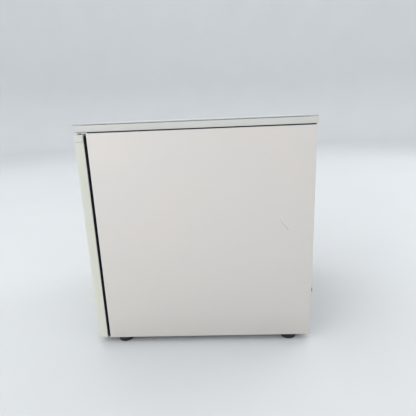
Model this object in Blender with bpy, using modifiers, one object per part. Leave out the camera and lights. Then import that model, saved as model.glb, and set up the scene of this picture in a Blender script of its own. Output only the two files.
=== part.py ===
"""Small cube refrigerator with a worktop, a hinged door and a rear compressor.

Lengths in this script are millimetres, scaled to metres by MM when an object is made.
Axes: +Z up, the door faces -Y, +X is the hinge side. The origin is on the floor, under the
middle of the cabinet.
"""

import math

import bmesh
import bpy
from mathutils import Matrix, Vector

MM = 0.001

# Driving dimensions
WIDTH = 445.0
DEPTH = 480.0
HEIGHT = 490.0
FOOT_HEIGHT = 14.0  # floor to the bottom edge of the case
WORKTOP_THICKNESS = 16.5
WORKTOP_GAP = 2.0  # shadow gap between the case and the worktop
WORKTOP_SIDE_LIP = 0.5
DOOR_THICKNESS = 19.4
DOOR_GAP = 5.9  # between the door's back and the case's front
REAR_LIP = 2.0  # worktop behind the case
FRAME_WIDTH = 14.5  # edge frame of the worktop
BOARD_SHEET = 2.4  # part of the board that lies over its frame
BOARD_GAP = 0.7  # from the frame's top to the board's sheet
FRAME_RIB = 8.0  # from the worktop's edge to the ribs under its frame
SHEET = 1.0  # folded steel sheet
GAP = 0.3  # between neighbouring pieces
STEP = 1.5  # moulded plastic wall
SMALL_CLEARANCE = 0.08  # a pin in its bush, on the radius
OVERSHOOT = 5.0  # how far a cutter runs past what it cuts
ROUND_STEPS = 24

# Cabinet faces
CASE_X = WIDTH / 2 - WORKTOP_SIDE_LIP
CASE_FRONT = -DEPTH / 2 + DOOR_THICKNESS + DOOR_GAP
CASE_REAR = DEPTH / 2 - REAR_LIP
CASE_BOTTOM = FOOT_HEIGHT
WORKTOP_BOTTOM = HEIGHT - WORKTOP_THICKNESS
CASE_TOP = WORKTOP_BOTTOM - WORKTOP_GAP
FLANGE_X = 203.0  # half width between the case's front flanges
FLANGE_TOP = 452.0  # underside of the top front flange
LIP_TOP = 34.0  # top of the base panel's front lip
HEM = 12.0  # rear return of the case sheet
BACK_Y = 216.0  # front face of the back panel

# Food compartment
LINER_X = 185.0
LINER_FLOOR = 54.0
LINER_CEILING = 432.0
LINER_REAR = 176.0
STEP_FRONT = 48.0  # the hump over the compressor
STEP_TOP = 198.0

# Compressor bay
BAY_FRONT = 77.0
BAY_TOP = 169.0
BASE_REAR = CASE_REAR - SHEET - GAP
BASE_LIP = 20.0
COMPRESSOR = Vector((-35.0, 155.0))
COMPRESSOR_RX = 72.0
COMPRESSOR_RY = 56.0
MOUNT_X = 78.0
MOUNT_Y = 42.0
MOUNT_BOTTOM = 33.0
MOUNT_TOP = 35.5
MOUNT_MARGIN = 10.0  # of the plate around its mounting studs
MOUNT_STUD_REACH = 7.0  # above the plate

# Condenser
TUBE_R = 2.4
CONDENSER_Y = 229.0
CONDENSER_X = 160.0
CONDENSER_BOTTOM = 125.0
PASS_PITCH = 40.0
PASSES = 9
RISER_X = 195.0
DRIER_TOP = 150.0
DRIER_LENGTH = 80.0
DRIER_R = 8.0
INLET_Z = 97.0  # where the discharge tube meets the condenser
BAR_Z = 120.5
BAR_HEIGHT = 8.0
BAR_TAB_X = 150.0  # outer end of each tab that carries the condenser
BAR_TAB_WIDTH = 15.0
UPPER_BAR_Z = 430.0
RISER_BEND = 14.0  # radius of the tube bends
TUBE_Z = 60.0  # where the discharge tube leaves the compressor

# Freezer box, its surround, flap and drip tray
EVAP_LOW = Vector((-178.0, -78.0, 340.0))
EVAP_HIGH = Vector((110.0, 160.0, 428.0))
SURROUND_FRONT = -86.0
SURROUND_BOTTOM = 334.0
SURROUND_X = (EVAP_LOW.x - 4.0, EVAP_HIGH.x + 4.0)
RAIL_BOTTOM = 307.0
RAIL_SHEET = 2.5
RAIL_LEDGE = 12.0  # width of the ledge that carries the tray
SURROUND_BORDER = 9.0
FLAP_AXIS = Vector((0.0, -90.0, 424.5))
FLAP_HALF = 3.0
FLAP_BOTTOM = 338.0
FLAP_PIN_R = 1.9
LUG_WIDTH = 3.5
LUG_HALF = 6.0  # half the lug's height
LUG_REACH = 5.0  # of the lug, in front of the flap's axis
PULL_HALF = 35.0  # half the length of the flap's pull

# Thermostat
HOUSING_LOW = Vector((122.0, -70.0, 348.0))
HOUSING_HIGH = Vector((183.0, 30.0, 431.5))
KNOB = Vector((152.5, -70.0, 388.0))
KNOB_R = 15.0
KNOB_SHAFT_R = 3.2

# Shelf
SHELF_X = 181.0
SHELF_FRONT = -95.0
SHELF_REAR = 164.0
SHELF_WIRE = 3.0
SHELF_WIRES = 17
LEDGE_X = 178.0
LEDGE_FRONT = -110.0

# Door
DOOR_FRONT = -DEPTH / 2
DOOR_BACK = DOOR_FRONT + DOOR_THICKNESS
DOOR_BOTTOM = CASE_BOTTOM + GAP
DOOR_TOP = 469.0
CAP_HEIGHT = 14.0
SKIN = 0.8
HINGE = Vector((CASE_X - 7.5, -230.0, 0.0))
PIN_R = 3.0
BUSH_R = 5.0
PIN_REACH = 9.0  # how far each pin enters its cap
BUSH_DEPTH = PIN_REACH + 3.0
PLATE_BACK = -221.6
PLATE_FRONT = -220.1
PAN_FRONT = -203.0
PAN_X = 176.0
PAN_BOTTOM = 62.0
PAN_TOP = 424.0
RIDGE_FRONT = -172.0
RIDGE_WIDTH = 10.0
RIDGE_TOP = 303.0
RIDGE_START = PAN_BOTTOM + 4.0
RACK_X = 165.0
UPPER_RACK = (250.0, 300.0, -160.0)  # bottom, top and front
LOWER_RACK = (68.0, 130.0, -156.0)
GRIP_BOTTOM = 305.0
GRIP_TOP = 405.0
GRIP_DEPTH = 22.0
GRIP_MARGIN = 2.5
HEM_WIDTH = 14.0  # the skin's return behind the door
SEAL_X = 221.0  # outer edge of the gasket's flange
SEAL_LOW = 16.5
SEAL_HIGH = 466.5
SEAL_FLANGE = 2.0  # thickness of the flange along Y
SEAL_STEP = 5.0  # from the flange's edge to the bulb's

# Hinge plates
PLATE_THICKNESS = 2.5
PLATE_X = (150.0, 219.0)
PLATE_SLANT = Vector((180.0, -210.0))  # the slanted corner runs between this x and this y
UPPER_PLATE_BACK = -176.0
LOWER_PLATE_BACK = -166.0
RECESS_BACK = -170.0  # the hinge's room in the worktop ends here
UPPER_PLATE_Z = CASE_TOP + GAP
LOWER_PLATE_Z = CASE_BOTTOM - GAP - PLATE_THICKNESS
SCREW_R = 1.8
SCREW_HOLE_R = 2.3
SCREW_HEAD_R = 4.2
SCREW_HEAD = 2.4
SCREW_LENGTH = 12.0
UPPER_SCREWS = {"upper_hinge_screw_a": (165.0, -190.0), "upper_hinge_screw_b": (198.0, -190.0)}
LOWER_SCREWS = {"lower_hinge_screw_a": (160.0, -203.0), "lower_hinge_screw_b": (160.0, -176.0)}

# Feet
FOOT_R = 17.0
FOOT_PAD = 9.5
STUD_R = 4.0
STUD_TOP = 33.0
REAR_PEG_TOP = 24.0
FOOT_X = 202.0
FRONT_FOOT_Y = -183.0
REAR_FOOT_Y = 192.0

# Tubes and gland through the compressor bay
SUCTION = Vector((90.0, 155.0))
SUCTION_R = 4.0
SUCTION_Z = 112.0  # where the suction tube leaves the compressor
CAPILLARY_R = 1.2
COIL = Vector((150.0, 190.0))
COIL_R = 14.0
GLAND = Vector((120.0, 0.0, 25.0))

# Base colour, roughness, metallic
FINISHES = {
    "case_enamel": ((0.82, 0.81, 0.79), 0.35, 0.0),
    "door_enamel": ((0.80, 0.82, 0.77), 0.3, 0.0),
    "worktop_plastic": ((0.83, 0.84, 0.81), 0.45, 0.0),
    "worktop_laminate": ((0.70, 0.71, 0.71), 0.4, 0.0),
    "white_plastic": ((0.85, 0.85, 0.83), 0.35, 0.0),
    "clear_plastic": ((0.82, 0.88, 0.90), 0.15, 0.0),
    "foam": ((0.86, 0.80, 0.58), 0.9, 0.0),
    "gasket_rubber": ((0.02, 0.025, 0.05), 0.7, 0.0),
    "black_rubber": ((0.03, 0.03, 0.03), 0.8, 0.0),
    "black_plastic": ((0.04, 0.04, 0.045), 0.5, 0.0),
    "black_enamel": ((0.03, 0.03, 0.035), 0.4, 0.0),
    "zinc_steel": ((0.60, 0.60, 0.58), 0.4, 1.0),
    "foil_board": ((0.66, 0.67, 0.68), 0.5, 0.4),
    "aluminium": ((0.75, 0.76, 0.77), 0.35, 1.0),
    "copper": ((0.72, 0.40, 0.25), 0.35, 1.0),
    "coated_wire": ((0.88, 0.88, 0.87), 0.3, 0.0),
}


def clear_scene():
    for old in list(bpy.data.objects):
        bpy.data.objects.remove(old, do_unlink=True)


def collection(name):
    group = bpy.data.collections.new(name)
    bpy.context.scene.collection.children.link(group)
    return group


def make_material(name):
    colour, roughness, metallic = FINISHES[name]
    made = bpy.data.materials.new(name)
    made.use_nodes = True
    shader = made.node_tree.nodes["Principled BSDF"]
    shader.inputs["Base Color"].default_value = (*colour, 1.0)
    shader.inputs["Roughness"].default_value = roughness
    shader.inputs["Metallic"].default_value = metallic
    return made


clear_scene()
PARTS = collection("mini_fridge")
CUTTERS = collection("cutters")
MATERIALS = {name: make_material(name) for name in FINISHES}


# Building blocks


def add(name, data, finish):
    """Link an object: a part when it has a finish, otherwise a hidden cutter."""
    made = bpy.data.objects.new(name, data)
    if finish:
        PARTS.objects.link(made)
        data.materials.append(MATERIALS[finish])
    else:
        CUTTERS.objects.link(made)
        made.hide_render = True
        made.display_type = "WIRE"
    return made


def round_edges(made, width, segments=2, angle=60):
    bevel = made.modifiers.new("rounded edges", "BEVEL")
    bevel.width = width * MM
    bevel.segments = segments
    bevel.limit_method = "ANGLE"
    bevel.angle_limit = math.radians(angle)


def block(name, low, high, finish=None, bevel=0.0, segments=2):
    """Box between two corners."""
    low, high = Vector(low), Vector(high)
    bm = bmesh.new()
    bmesh.ops.create_cube(bm, size=1.0)
    bmesh.ops.scale(bm, vec=(high - low) * MM, verts=bm.verts)
    mesh = bpy.data.meshes.new(name)
    bm.to_mesh(mesh)
    bm.free()
    made = add(name, mesh, finish)
    made.location = (low + high) / 2 * MM
    if bevel:
        round_edges(made, bevel, segments)
    return made


def rod(name, radius, low, high, finish=None, axis="Z", steps=ROUND_STEPS):
    """Cylinder between two points on a line along one axis."""
    low, high = Vector(low), Vector(high)
    bm = bmesh.new()
    bmesh.ops.create_cone(
        bm,
        cap_ends=True,
        segments=steps,
        radius1=radius * MM,
        radius2=radius * MM,
        depth=(high - low).length * MM,
    )
    mesh = bpy.data.meshes.new(name)
    bm.to_mesh(mesh)
    bm.free()
    made = add(name, mesh, finish)
    made.location = (low + high) / 2 * MM
    quarter = math.pi / 2
    made.rotation_euler = {"X": (0, quarter, 0), "Y": (quarter, 0, 0), "Z": (0, 0, 0)}[axis]
    return made


def turned(name, profile, centre, finish=None, axis="Z", closed=False, steps=ROUND_STEPS):
    """Profile of (radius, height) points, run down its outer side, turned about an axis."""
    mesh = bpy.data.meshes.new(name)
    points = [(radius * MM, 0.0, height * MM) for radius, height in profile]
    edges = [(i, i + 1) for i in range(len(points) - 1)]
    if closed:
        edges.append((len(points) - 1, 0))
    mesh.from_pydata(points, edges, [])
    made = add(name, mesh, finish)
    made.location = Vector(centre) * MM
    if axis == "Y":
        made.rotation_euler = (-math.pi / 2, 0, 0)
    screw = made.modifiers.new("turned", "SCREW")
    screw.steps = steps
    screw.render_steps = steps
    screw.use_merge_vertices = True
    screw.merge_threshold = 0.00005
    return made


def rounded(points, radius, steps=4, closed=True):
    """Points of a polyline with an arc of the given radius at each of its corners."""
    points = [Vector(p) for p in points]
    count = len(points)
    path = []
    for i, corner in enumerate(points):
        if not closed and i in (0, count - 1):
            path.append(corner)
            continue
        before = (points[i - 1] - corner).normalized()
        after = (points[(i + 1) % count] - corner).normalized()
        half = before.angle(after) / 2
        reach = radius / math.tan(half)
        centre = corner + (before + after).normalized() * (radius / math.sin(half))
        start = corner + before * reach - centre
        end = corner + after * reach - centre
        sweep = start.angle(end)
        for k in range(steps + 1):
            t = k / steps
            spread = math.sin((1 - t) * sweep) * start + math.sin(t * sweep) * end
            path.append(centre + spread / math.sin(sweep))
    return path


PLANES = {
    "XY": Matrix(((1, 0, 0), (0, 1, 0), (0, 0, 1))),
    "YZ": Matrix(((0, 0, 1), (1, 0, 0), (0, 1, 0))),
}


def outline(name, points, low, high, plane, finish=None):
    """Flat outline in a plane, extruded between two positions along the plane's normal."""
    curve = bpy.data.curves.new(name, "CURVE")
    curve.dimensions = "2D"
    curve.fill_mode = "BOTH"
    curve.extrude = (high - low) / 2 * MM
    spline = curve.splines.new("POLY")
    spline.points.add(len(points) - 1)
    for point, place in zip(spline.points, points):
        point.co = (place[0] * MM, place[1] * MM, 0.0, 1.0)
    spline.use_cyclic_u = True
    guide = add(name + "_outline", curve, None)
    turn = PLANES[plane]
    guide.matrix_world = Matrix.Translation(turn @ Vector((0, 0, (low + high) / 2 * MM))) @ turn.to_4x4()
    return as_mesh(guide, name, finish)


def as_mesh(guide, name, finish):
    """Replace a curve with a welded mesh at the same place."""
    bpy.context.view_layer.update()
    evaluated = guide.evaluated_get(bpy.context.evaluated_depsgraph_get())
    mesh = bpy.data.meshes.new_from_object(evaluated)
    bm = bmesh.new()
    bm.from_mesh(mesh)
    bmesh.ops.remove_doubles(bm, verts=bm.verts, dist=0.00001)
    bmesh.ops.recalc_face_normals(bm, faces=bm.faces)
    bm.to_mesh(mesh)
    bm.free()
    mesh.materials.clear()
    made = add(name, mesh, finish)
    made.matrix_world = guide.matrix_world.copy()
    bpy.data.objects.remove(guide)
    return made


def tube(name, points, radius, finish, resolution=2):
    """Round tube or wire along a list of points."""
    curve = bpy.data.curves.new(name, "CURVE")
    curve.dimensions = "3D"
    curve.bevel_depth = radius * MM
    curve.bevel_resolution = resolution
    curve.use_fill_caps = True
    spline = curve.splines.new("POLY")
    spline.points.add(len(points) - 1)
    for point, place in zip(spline.points, points):
        point.co = (*(Vector(place) * MM), 1.0)
    return add(name, curve, finish)


def boolean(made, others, operation):
    for other in others:
        step = made.modifiers.new(f"{operation.lower()} {other.name}", "BOOLEAN")
        step.operation = operation
        step.object = other
    return made


def cut(made, *others):
    return boolean(made, others, "DIFFERENCE")


def join(made, *others):
    return boolean(made, others, "UNION")


def pivot(name, place, children):
    """Empty on a joint's axis that carries the pieces of one moving body and their cutters."""
    holder = bpy.data.objects.new(name, None)
    PARTS.objects.link(holder)
    holder.location = Vector(place) * MM
    bpy.context.view_layer.update()
    cutters = [step.object for child in children for step in child.modifiers if step.type == "BOOLEAN"]
    for child in [*children, *cutters]:
        child.parent = holder
        child.matrix_parent_inverse = holder.matrix_world.inverted()


def hole(name, radius, place, low, high):
    return rod(name, radius, (place[0], place[1], low), (place[0], place[1], high))


def tub(name, low, high, wall, radius, finish, mouth="top"):
    """Rounded box of one wall thickness, open at the top or at the front."""
    low, high = Vector(low), Vector(high)
    along, outwards = {"top": (2, 1), "front": (1, -1)}[mouth]
    reach = Vector((0, 0, 0))
    reach[along] = 2 * radius + OVERSHOOT
    walls = Vector((wall, wall, wall))
    margin = Vector((OVERSHOOT, OVERSHOOT, OVERSHOOT))
    trim_low, trim_high = low - margin, high + margin
    if outwards > 0:
        shape = block(name, low, high + reach, finish, bevel=radius)
        hollow = block(f"{name}_hollow", low + walls, high - walls + 2 * reach, bevel=radius - wall / 2)
        trim_low[along] = high[along]
        trim_high += 2 * reach
    else:
        shape = block(name, low - reach, high, finish, bevel=radius)
        hollow = block(f"{name}_hollow", low + walls - 2 * reach, high - walls, bevel=radius - wall / 2)
        trim_high[along] = low[along]
        trim_low -= 2 * reach
    return cut(shape, hollow, block(f"{name}_trim", trim_low, trim_high))


# Cabinet shell


def outer_case():
    case = block(
        "outer_case",
        (-CASE_X, CASE_FRONT, CASE_BOTTOM - OVERSHOOT),
        (CASE_X, CASE_REAR, CASE_TOP),
        "case_enamel",
        bevel=1.5,
    )
    inside = block(
        "case_inside",
        (-CASE_X + SHEET, CASE_FRONT + SHEET, -OVERSHOOT),
        (CASE_X - SHEET, CASE_REAR - SHEET, CASE_TOP - SHEET),
    )
    below = block(
        "case_below",
        (-CASE_X - OVERSHOOT, CASE_FRONT - OVERSHOOT, -OVERSHOOT),
        (CASE_X + OVERSHOOT, CASE_REAR + OVERSHOOT, CASE_BOTTOM),
    )
    mouth = block(
        "case_mouth",
        (-FLANGE_X, CASE_FRONT - OVERSHOOT, -OVERSHOOT),
        (FLANGE_X, CASE_FRONT + OVERSHOOT, FLANGE_TOP),
    )
    rear = block(
        "case_rear_opening",
        (-CASE_X + SHEET + HEM, CASE_REAR - OVERSHOOT, -OVERSHOOT),
        (CASE_X - SHEET - HEM, CASE_REAR + OVERSHOOT, CASE_TOP - SHEET - HEM),
    )
    return cut(case, inside, below, mouth, rear)


def base_panel():
    panel = block(
        "base_panel",
        (-CASE_X + SHEET + GAP, CASE_FRONT, CASE_BOTTOM),
        (CASE_X - SHEET - GAP, BAY_FRONT - GAP, LIP_TOP),
        "zinc_steel",
    )
    above = block(
        "base_above",
        (-CASE_X, CASE_FRONT + SHEET, CASE_BOTTOM + SHEET),
        (CASE_X, BAY_FRONT + OVERSHOOT, LIP_TOP + OVERSHOOT),
    )
    cut(panel, above)
    for side, x in (("left", -CASE_X - OVERSHOOT), ("right", FLANGE_X - GAP)):
        notch = block(
            f"base_notch_{side}",
            (x, CASE_FRONT - OVERSHOOT, CASE_BOTTOM - OVERSHOOT),
            (x + CASE_X - FLANGE_X + GAP + OVERSHOOT, CASE_FRONT + SHEET + GAP, LIP_TOP + OVERSHOOT),
        )
        cut(panel, notch)
    return panel


def compressor_base():
    base = block(
        "compressor_base",
        (-CASE_X + SHEET + GAP, BAY_FRONT + 2.0, CASE_BOTTOM),
        (CASE_X - SHEET - GAP, BASE_REAR, CASE_BOTTOM + BASE_LIP),
        "zinc_steel",
    )
    inside = block(
        "base_tray_inside",
        (-CASE_X, BAY_FRONT + 2.0 + STEP, CASE_BOTTOM + STEP),
        (CASE_X, BASE_REAR - STEP, CASE_BOTTOM + BASE_LIP + OVERSHOOT),
    )
    cut(base, inside)
    for corner, place in mount_places().items():
        stud = hole(f"mount_stud_{corner}", PIN_R, place, CASE_BOTTOM + SHEET, MOUNT_TOP + MOUNT_STUD_REACH)
        join(base, stud)
    gland_hole = rod(
        "gland_hole",
        5.0,
        (GLAND.x, BASE_REAR - OVERSHOOT, GLAND.z),
        (GLAND.x, BASE_REAR + OVERSHOOT, GLAND.z),
        axis="Y",
    )
    return cut(base, gland_hole)


def compressor_bay():
    sheet = [
        (BAY_FRONT, CASE_BOTTOM + SHEET + GAP),
        (BAY_FRONT + SHEET, CASE_BOTTOM + SHEET + GAP),
        (BAY_FRONT + SHEET, BAY_TOP - SHEET),
        (BACK_Y - 2 * GAP, BAY_TOP - SHEET),
        (BACK_Y - 2 * GAP, BAY_TOP),
        (BAY_FRONT, BAY_TOP),
    ]
    half = CASE_X - SHEET - GAP
    return outline("compressor_bay", sheet, -half, half, "YZ", "foil_board")


def back_panel():
    return block(
        "back_panel",
        (-CASE_X + SHEET + GAP, BACK_Y, BAY_TOP + GAP),
        (CASE_X - SHEET - GAP, BACK_Y + SHEET, CASE_TOP - SHEET - GAP),
        "foil_board",
    )


def liner_profile(inset, radius):
    """Side outline of the food compartment, grown outwards by the inset."""
    corners = [
        (CASE_FRONT - OVERSHOOT, LINER_FLOOR - inset),
        (STEP_FRONT + inset, LINER_FLOOR - inset),
        (STEP_FRONT + inset, STEP_TOP - inset),
        (LINER_REAR + inset, STEP_TOP - inset),
        (LINER_REAR + inset, LINER_CEILING + inset),
        (CASE_FRONT - OVERSHOOT, LINER_CEILING + inset),
    ]
    body = rounded([(y, z, 0) for y, z in corners], radius, steps=3)
    return [(p.x, p.y) for p in body]


def inner_liner():
    half = LINER_X + STEP
    liner = outline("inner_liner", liner_profile(STEP, 3.0), -half, half, "YZ", "white_plastic")
    before = block(
        "liner_before",
        (-CASE_X, CASE_FRONT - 4 * OVERSHOOT, 0),
        (CASE_X, CASE_FRONT + SHEET, HEIGHT),
    )
    flange = block(
        "liner_flange",
        (-FLANGE_X + GAP, CASE_FRONT, LIP_TOP + GAP),
        (FLANGE_X - GAP, CASE_FRONT + STEP, FLANGE_TOP - GAP),
    )
    cavity = outline("liner_cavity", liner_profile(0.0, 10.0), -LINER_X, LINER_X, "YZ")
    cut(liner, before)
    join(liner, flange)
    cut(liner, cavity)
    for side, x in (("left", -LINER_X - STEP / 2), ("right", LEDGE_X)):
        ledge = block(
            f"liner_ledge_{side}",
            (x, LEDGE_FRONT, STEP_TOP - 5.0),
            (x + LINER_X + STEP / 2 - LEDGE_X, STEP_FRONT + STEP / 2, STEP_TOP),
            bevel=1.0,
            segments=1,
        )
        join(liner, ledge)
    return liner


def foam_insulation():
    foam = block(
        "foam_insulation",
        (-CASE_X + SHEET + GAP, CASE_FRONT + STEP + GAP, CASE_BOTTOM + SHEET + GAP),
        (CASE_X - SHEET - GAP, BACK_Y - GAP, CASE_TOP - SHEET - GAP),
        "foam",
    )
    bay = block(
        "foam_bay",
        (-CASE_X, BAY_FRONT - GAP, 0),
        (CASE_X, CASE_REAR, BAY_TOP + GAP),
    )
    half = LINER_X + STEP + GAP
    room = outline("foam_room", liner_profile(STEP + GAP, 3.0), -half, half, "YZ")
    return cut(foam, bay, room)


# Worktop


def worktop_frame():
    frame = block(
        "worktop_frame",
        (-WIDTH / 2, -DEPTH / 2, WORKTOP_BOTTOM),
        (WIDTH / 2, DEPTH / 2, HEIGHT - BOARD_SHEET - BOARD_GAP),
        "worktop_plastic",
        bevel=0.8,
        segments=1,
    )
    ribs = block(
        "worktop_ribs",
        (-WIDTH / 2 + FRAME_RIB, CASE_FRONT + 2.0, CASE_TOP + GAP),
        (WIDTH / 2 - FRAME_RIB, CASE_REAR - FRAME_RIB, WORKTOP_BOTTOM + 2.0),
    )
    inside = block(
        "worktop_inside",
        (-WIDTH / 2 + FRAME_WIDTH, -DEPTH / 2 + FRAME_WIDTH, CASE_TOP - OVERSHOOT),
        (WIDTH / 2 - FRAME_WIDTH, DEPTH / 2 - FRAME_WIDTH, HEIGHT + OVERSHOOT),
    )
    return cut(join(frame, ribs), inside)


def worktop_board():
    edge = FRAME_WIDTH + GAP
    board = block(
        "worktop_board",
        (-WIDTH / 2, -DEPTH / 2, HEIGHT - BOARD_SHEET),
        (WIDTH / 2, DEPTH / 2, HEIGHT),
        "worktop_laminate",
        bevel=0.6,
    )
    core = block(
        "worktop_core",
        (-WIDTH / 2 + edge, -DEPTH / 2 + edge, WORKTOP_BOTTOM + 1.0),
        (WIDTH / 2 - edge, DEPTH / 2 - edge, HEIGHT - 1.0),
    )
    return join(board, core)


# Hinges, screws and feet


def hinge_plate(name, bottom, back):
    """Flat plate, slanted at its inner front corner, whose outer one is rounded about the pin."""
    x_low, x_high = PLATE_X
    front = HINGE.y - (x_high - HINGE.x)
    corners = [(x_low, PLATE_SLANT.y), (PLATE_SLANT.x, front)]
    corners += [(x_high, front), (x_high, back), (x_low, back)]
    shape = rounded([(x, y, 0) for x, y in corners], 4.5, steps=3)
    return outline(name, shape, bottom, bottom + PLATE_THICKNESS, "XY", "zinc_steel")


def upper_hinge():
    plate = hinge_plate("upper_hinge", UPPER_PLATE_Z, UPPER_PLATE_BACK)
    pin = hole("upper_pin", PIN_R, HINGE, DOOR_TOP - PIN_REACH, UPPER_PLATE_Z + PLATE_THICKNESS / 2)
    return join(plate, pin)


def lower_hinge():
    plate = hinge_plate("lower_hinge", LOWER_PLATE_Z, LOWER_PLATE_BACK)
    top = LOWER_PLATE_Z + PLATE_THICKNESS
    pin = hole("lower_pin", PIN_R, HINGE, top - PLATE_THICKNESS / 2, DOOR_BOTTOM + PIN_REACH)
    return join(plate, pin)


def screw(name, place, seat, up):
    """Pan-head screw: its head rests on the seat and its shank runs away from the head."""
    head = [(0, SCREW_HEAD), (SCREW_HEAD_R * 0.7, SCREW_HEAD), (SCREW_HEAD_R, SCREW_HEAD * 0.4)]
    shank = [(SCREW_HEAD_R, 0), (SCREW_R, 0), (SCREW_R, -SCREW_LENGTH), (0, -SCREW_LENGTH)]
    made = turned(name, head + shank, (place[0], place[1], seat), "zinc_steel", steps=12)
    if not up:
        made.rotation_euler = (math.pi, 0, 0)
    return made


def screws():
    for name, place in UPPER_SCREWS.items():
        screw(name, place, UPPER_PLATE_Z + PLATE_THICKNESS + GAP, up=True)
    for name, place in LOWER_SCREWS.items():
        screw(name, place, LOWER_PLATE_Z - GAP, up=False)


def pad_profile():
    return [
        (FOOT_R - 1.5, FOOT_PAD),
        (FOOT_R, FOOT_PAD - 1.5),
        (FOOT_R, 2.0),
        (FOOT_R - 1.5, 0),
        (0, 0),
    ]


def front_foot(side, x):
    """Screw foot: the pad turns and the stud travels, so each has its own body."""
    profile = [(0, FOOT_PAD)] + pad_profile()
    pad = turned(f"front_{side}_foot_pad", profile, (x, FRONT_FOOT_Y, 0), "black_rubber")
    stud = rod(
        f"front_{side}_foot_stud",
        STUD_R,
        (x, FRONT_FOOT_Y, FOOT_PAD + GAP),
        (x, FRONT_FOOT_Y, STUD_TOP),
        "zinc_steel",
    )
    return pad, stud


def rear_foot(side, x):
    peg = STUD_R - 0.5
    stem = [(0, REAR_PEG_TOP), (peg, REAR_PEG_TOP), (peg, FOOT_PAD)]
    return turned(f"rear_{side}_foot", stem + pad_profile(), (x, REAR_FOOT_Y, 0), "black_rubber")


# Inside the food compartment


def evaporator():
    return tub("evaporator", EVAP_LOW, EVAP_HIGH, STEP, 6.0, "aluminium", mouth="front")


def freezer_surround():
    left, right = SURROUND_X
    back = EVAP_LOW.y - GAP
    ring = block(
        "freezer_surround",
        (left, SURROUND_FRONT, SURROUND_BOTTOM),
        (right, back, LINER_CEILING - GAP),
        "white_plastic",
    )
    for side, web, ledge in (("left", left, left), ("right", right - RAIL_SHEET, right - RAIL_LEDGE)):
        rail = block(
            f"rail_web_{side}",
            (web, SURROUND_FRONT + 2.0, RAIL_BOTTOM),
            (web + RAIL_SHEET, LINER_REAR - GAP, SURROUND_BOTTOM + 2.0),
        )
        foot = block(
            f"rail_ledge_{side}",
            (ledge, SURROUND_FRONT + 2.0, RAIL_BOTTOM - 0.5),
            (ledge + RAIL_LEDGE, LINER_REAR - GAP, RAIL_BOTTOM + RAIL_SHEET),
        )
        join(ring, rail, foot)
    opening = block(
        "surround_opening",
        (left + SURROUND_BORDER, SURROUND_FRONT - OVERSHOOT, SURROUND_BOTTOM + 10.0),
        (right - SURROUND_BORDER, back + OVERSHOOT, EVAP_HIGH.z - 4.0),
        bevel=4.0,
    )
    cut(ring, opening)
    for side, x in (("left", left), ("right", right - LUG_WIDTH)):
        lug = block(
            f"flap_lug_{side}",
            (x, FLAP_AXIS.y - LUG_REACH, FLAP_AXIS.z - LUG_HALF),
            (x + LUG_WIDTH, SURROUND_FRONT + 2.0, FLAP_AXIS.z + LUG_HALF),
        )
        join(ring, lug)
    bore = rod(
        "flap_bore",
        FLAP_PIN_R + SMALL_CLEARANCE,
        (left - OVERSHOOT, FLAP_AXIS.y, FLAP_AXIS.z),
        (right + OVERSHOOT, FLAP_AXIS.y, FLAP_AXIS.z),
        axis="X",
    )
    return cut(ring, bore)


def freezer_flap():
    left = SURROUND_X[0] + LUG_WIDTH + 0.7
    right = SURROUND_X[1] - LUG_WIDTH - 0.7
    panel = block(
        "freezer_flap",
        (left, FLAP_AXIS.y - FLAP_HALF, FLAP_BOTTOM),
        (right, FLAP_AXIS.y + FLAP_HALF, FLAP_AXIS.z + 2.0),
        "clear_plastic",
        bevel=1.2,
    )
    pin = rod(
        "flap_pin",
        FLAP_PIN_R,
        (SURROUND_X[0] + 0.5, FLAP_AXIS.y, FLAP_AXIS.z),
        (SURROUND_X[1] - 0.5, FLAP_AXIS.y, FLAP_AXIS.z),
        axis="X",
    )
    middle = (left + right) / 2
    pull = block(
        "flap_pull",
        (middle - PULL_HALF, FLAP_AXIS.y - FLAP_HALF - 2.0, FLAP_BOTTOM + 3.0),
        (middle + PULL_HALF, FLAP_AXIS.y, FLAP_BOTTOM + 8.0),
        bevel=0.8,
        segments=1,
    )
    return join(panel, pin, pull)


def drip_tray():
    left = SURROUND_X[0] + RAIL_SHEET + GAP
    right = SURROUND_X[1] - RAIL_SHEET - GAP
    bottom = RAIL_BOTTOM + RAIL_SHEET + GAP
    tray = tub(
        "drip_tray",
        (left, SURROUND_FRONT, bottom),
        (right, EVAP_HIGH.y, SURROUND_BOTTOM - 3.0),
        2.0,
        4.0,
        "clear_plastic",
    )
    front = block(
        "tray_front",
        (SURROUND_X[0], SURROUND_FRONT - 6.0, RAIL_BOTTOM),
        (SURROUND_X[1], SURROUND_FRONT + 1.0, SURROUND_BOTTOM - 1.0),
        bevel=1.5,
        segments=1,
    )
    return join(tray, front)


def wire_grid(name, x_lines, z_lines, wire, matrix, finish):
    """Flat grid of crossing wires, as the solid cells of a lattice extruded to a thickness.

    x_lines and z_lines hold the wires' centres; the grid is built in its own XY plane.
    """
    xs = sorted(x + side * wire / 2 for x in x_lines for side in (-1, 1))
    ys = sorted(y + side * wire / 2 for y in z_lines for side in (-1, 1))
    bm = bmesh.new()
    rows = [[bm.verts.new((x * MM, y * MM, -wire / 2 * MM)) for x in xs] for y in ys]
    for j in range(len(ys) - 1):
        for i in range(len(xs) - 1):
            if i % 2 and j % 2:
                continue
            bm.faces.new((rows[j][i], rows[j][i + 1], rows[j + 1][i + 1], rows[j + 1][i]))
    thick = bmesh.ops.extrude_face_region(bm, geom=list(bm.faces))
    lifted = [v for v in thick["geom"] if isinstance(v, bmesh.types.BMVert)]
    bmesh.ops.translate(bm, vec=(0, 0, wire * MM), verts=lifted)
    bmesh.ops.recalc_face_normals(bm, faces=bm.faces)
    mesh = bpy.data.meshes.new(name)
    bm.to_mesh(mesh)
    bm.free()
    made = add(name, mesh, finish)
    made.matrix_world = matrix
    return made


def spread(low, high, count):
    return [low + (high - low) * i / (count - 1) for i in range(count)]


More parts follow.
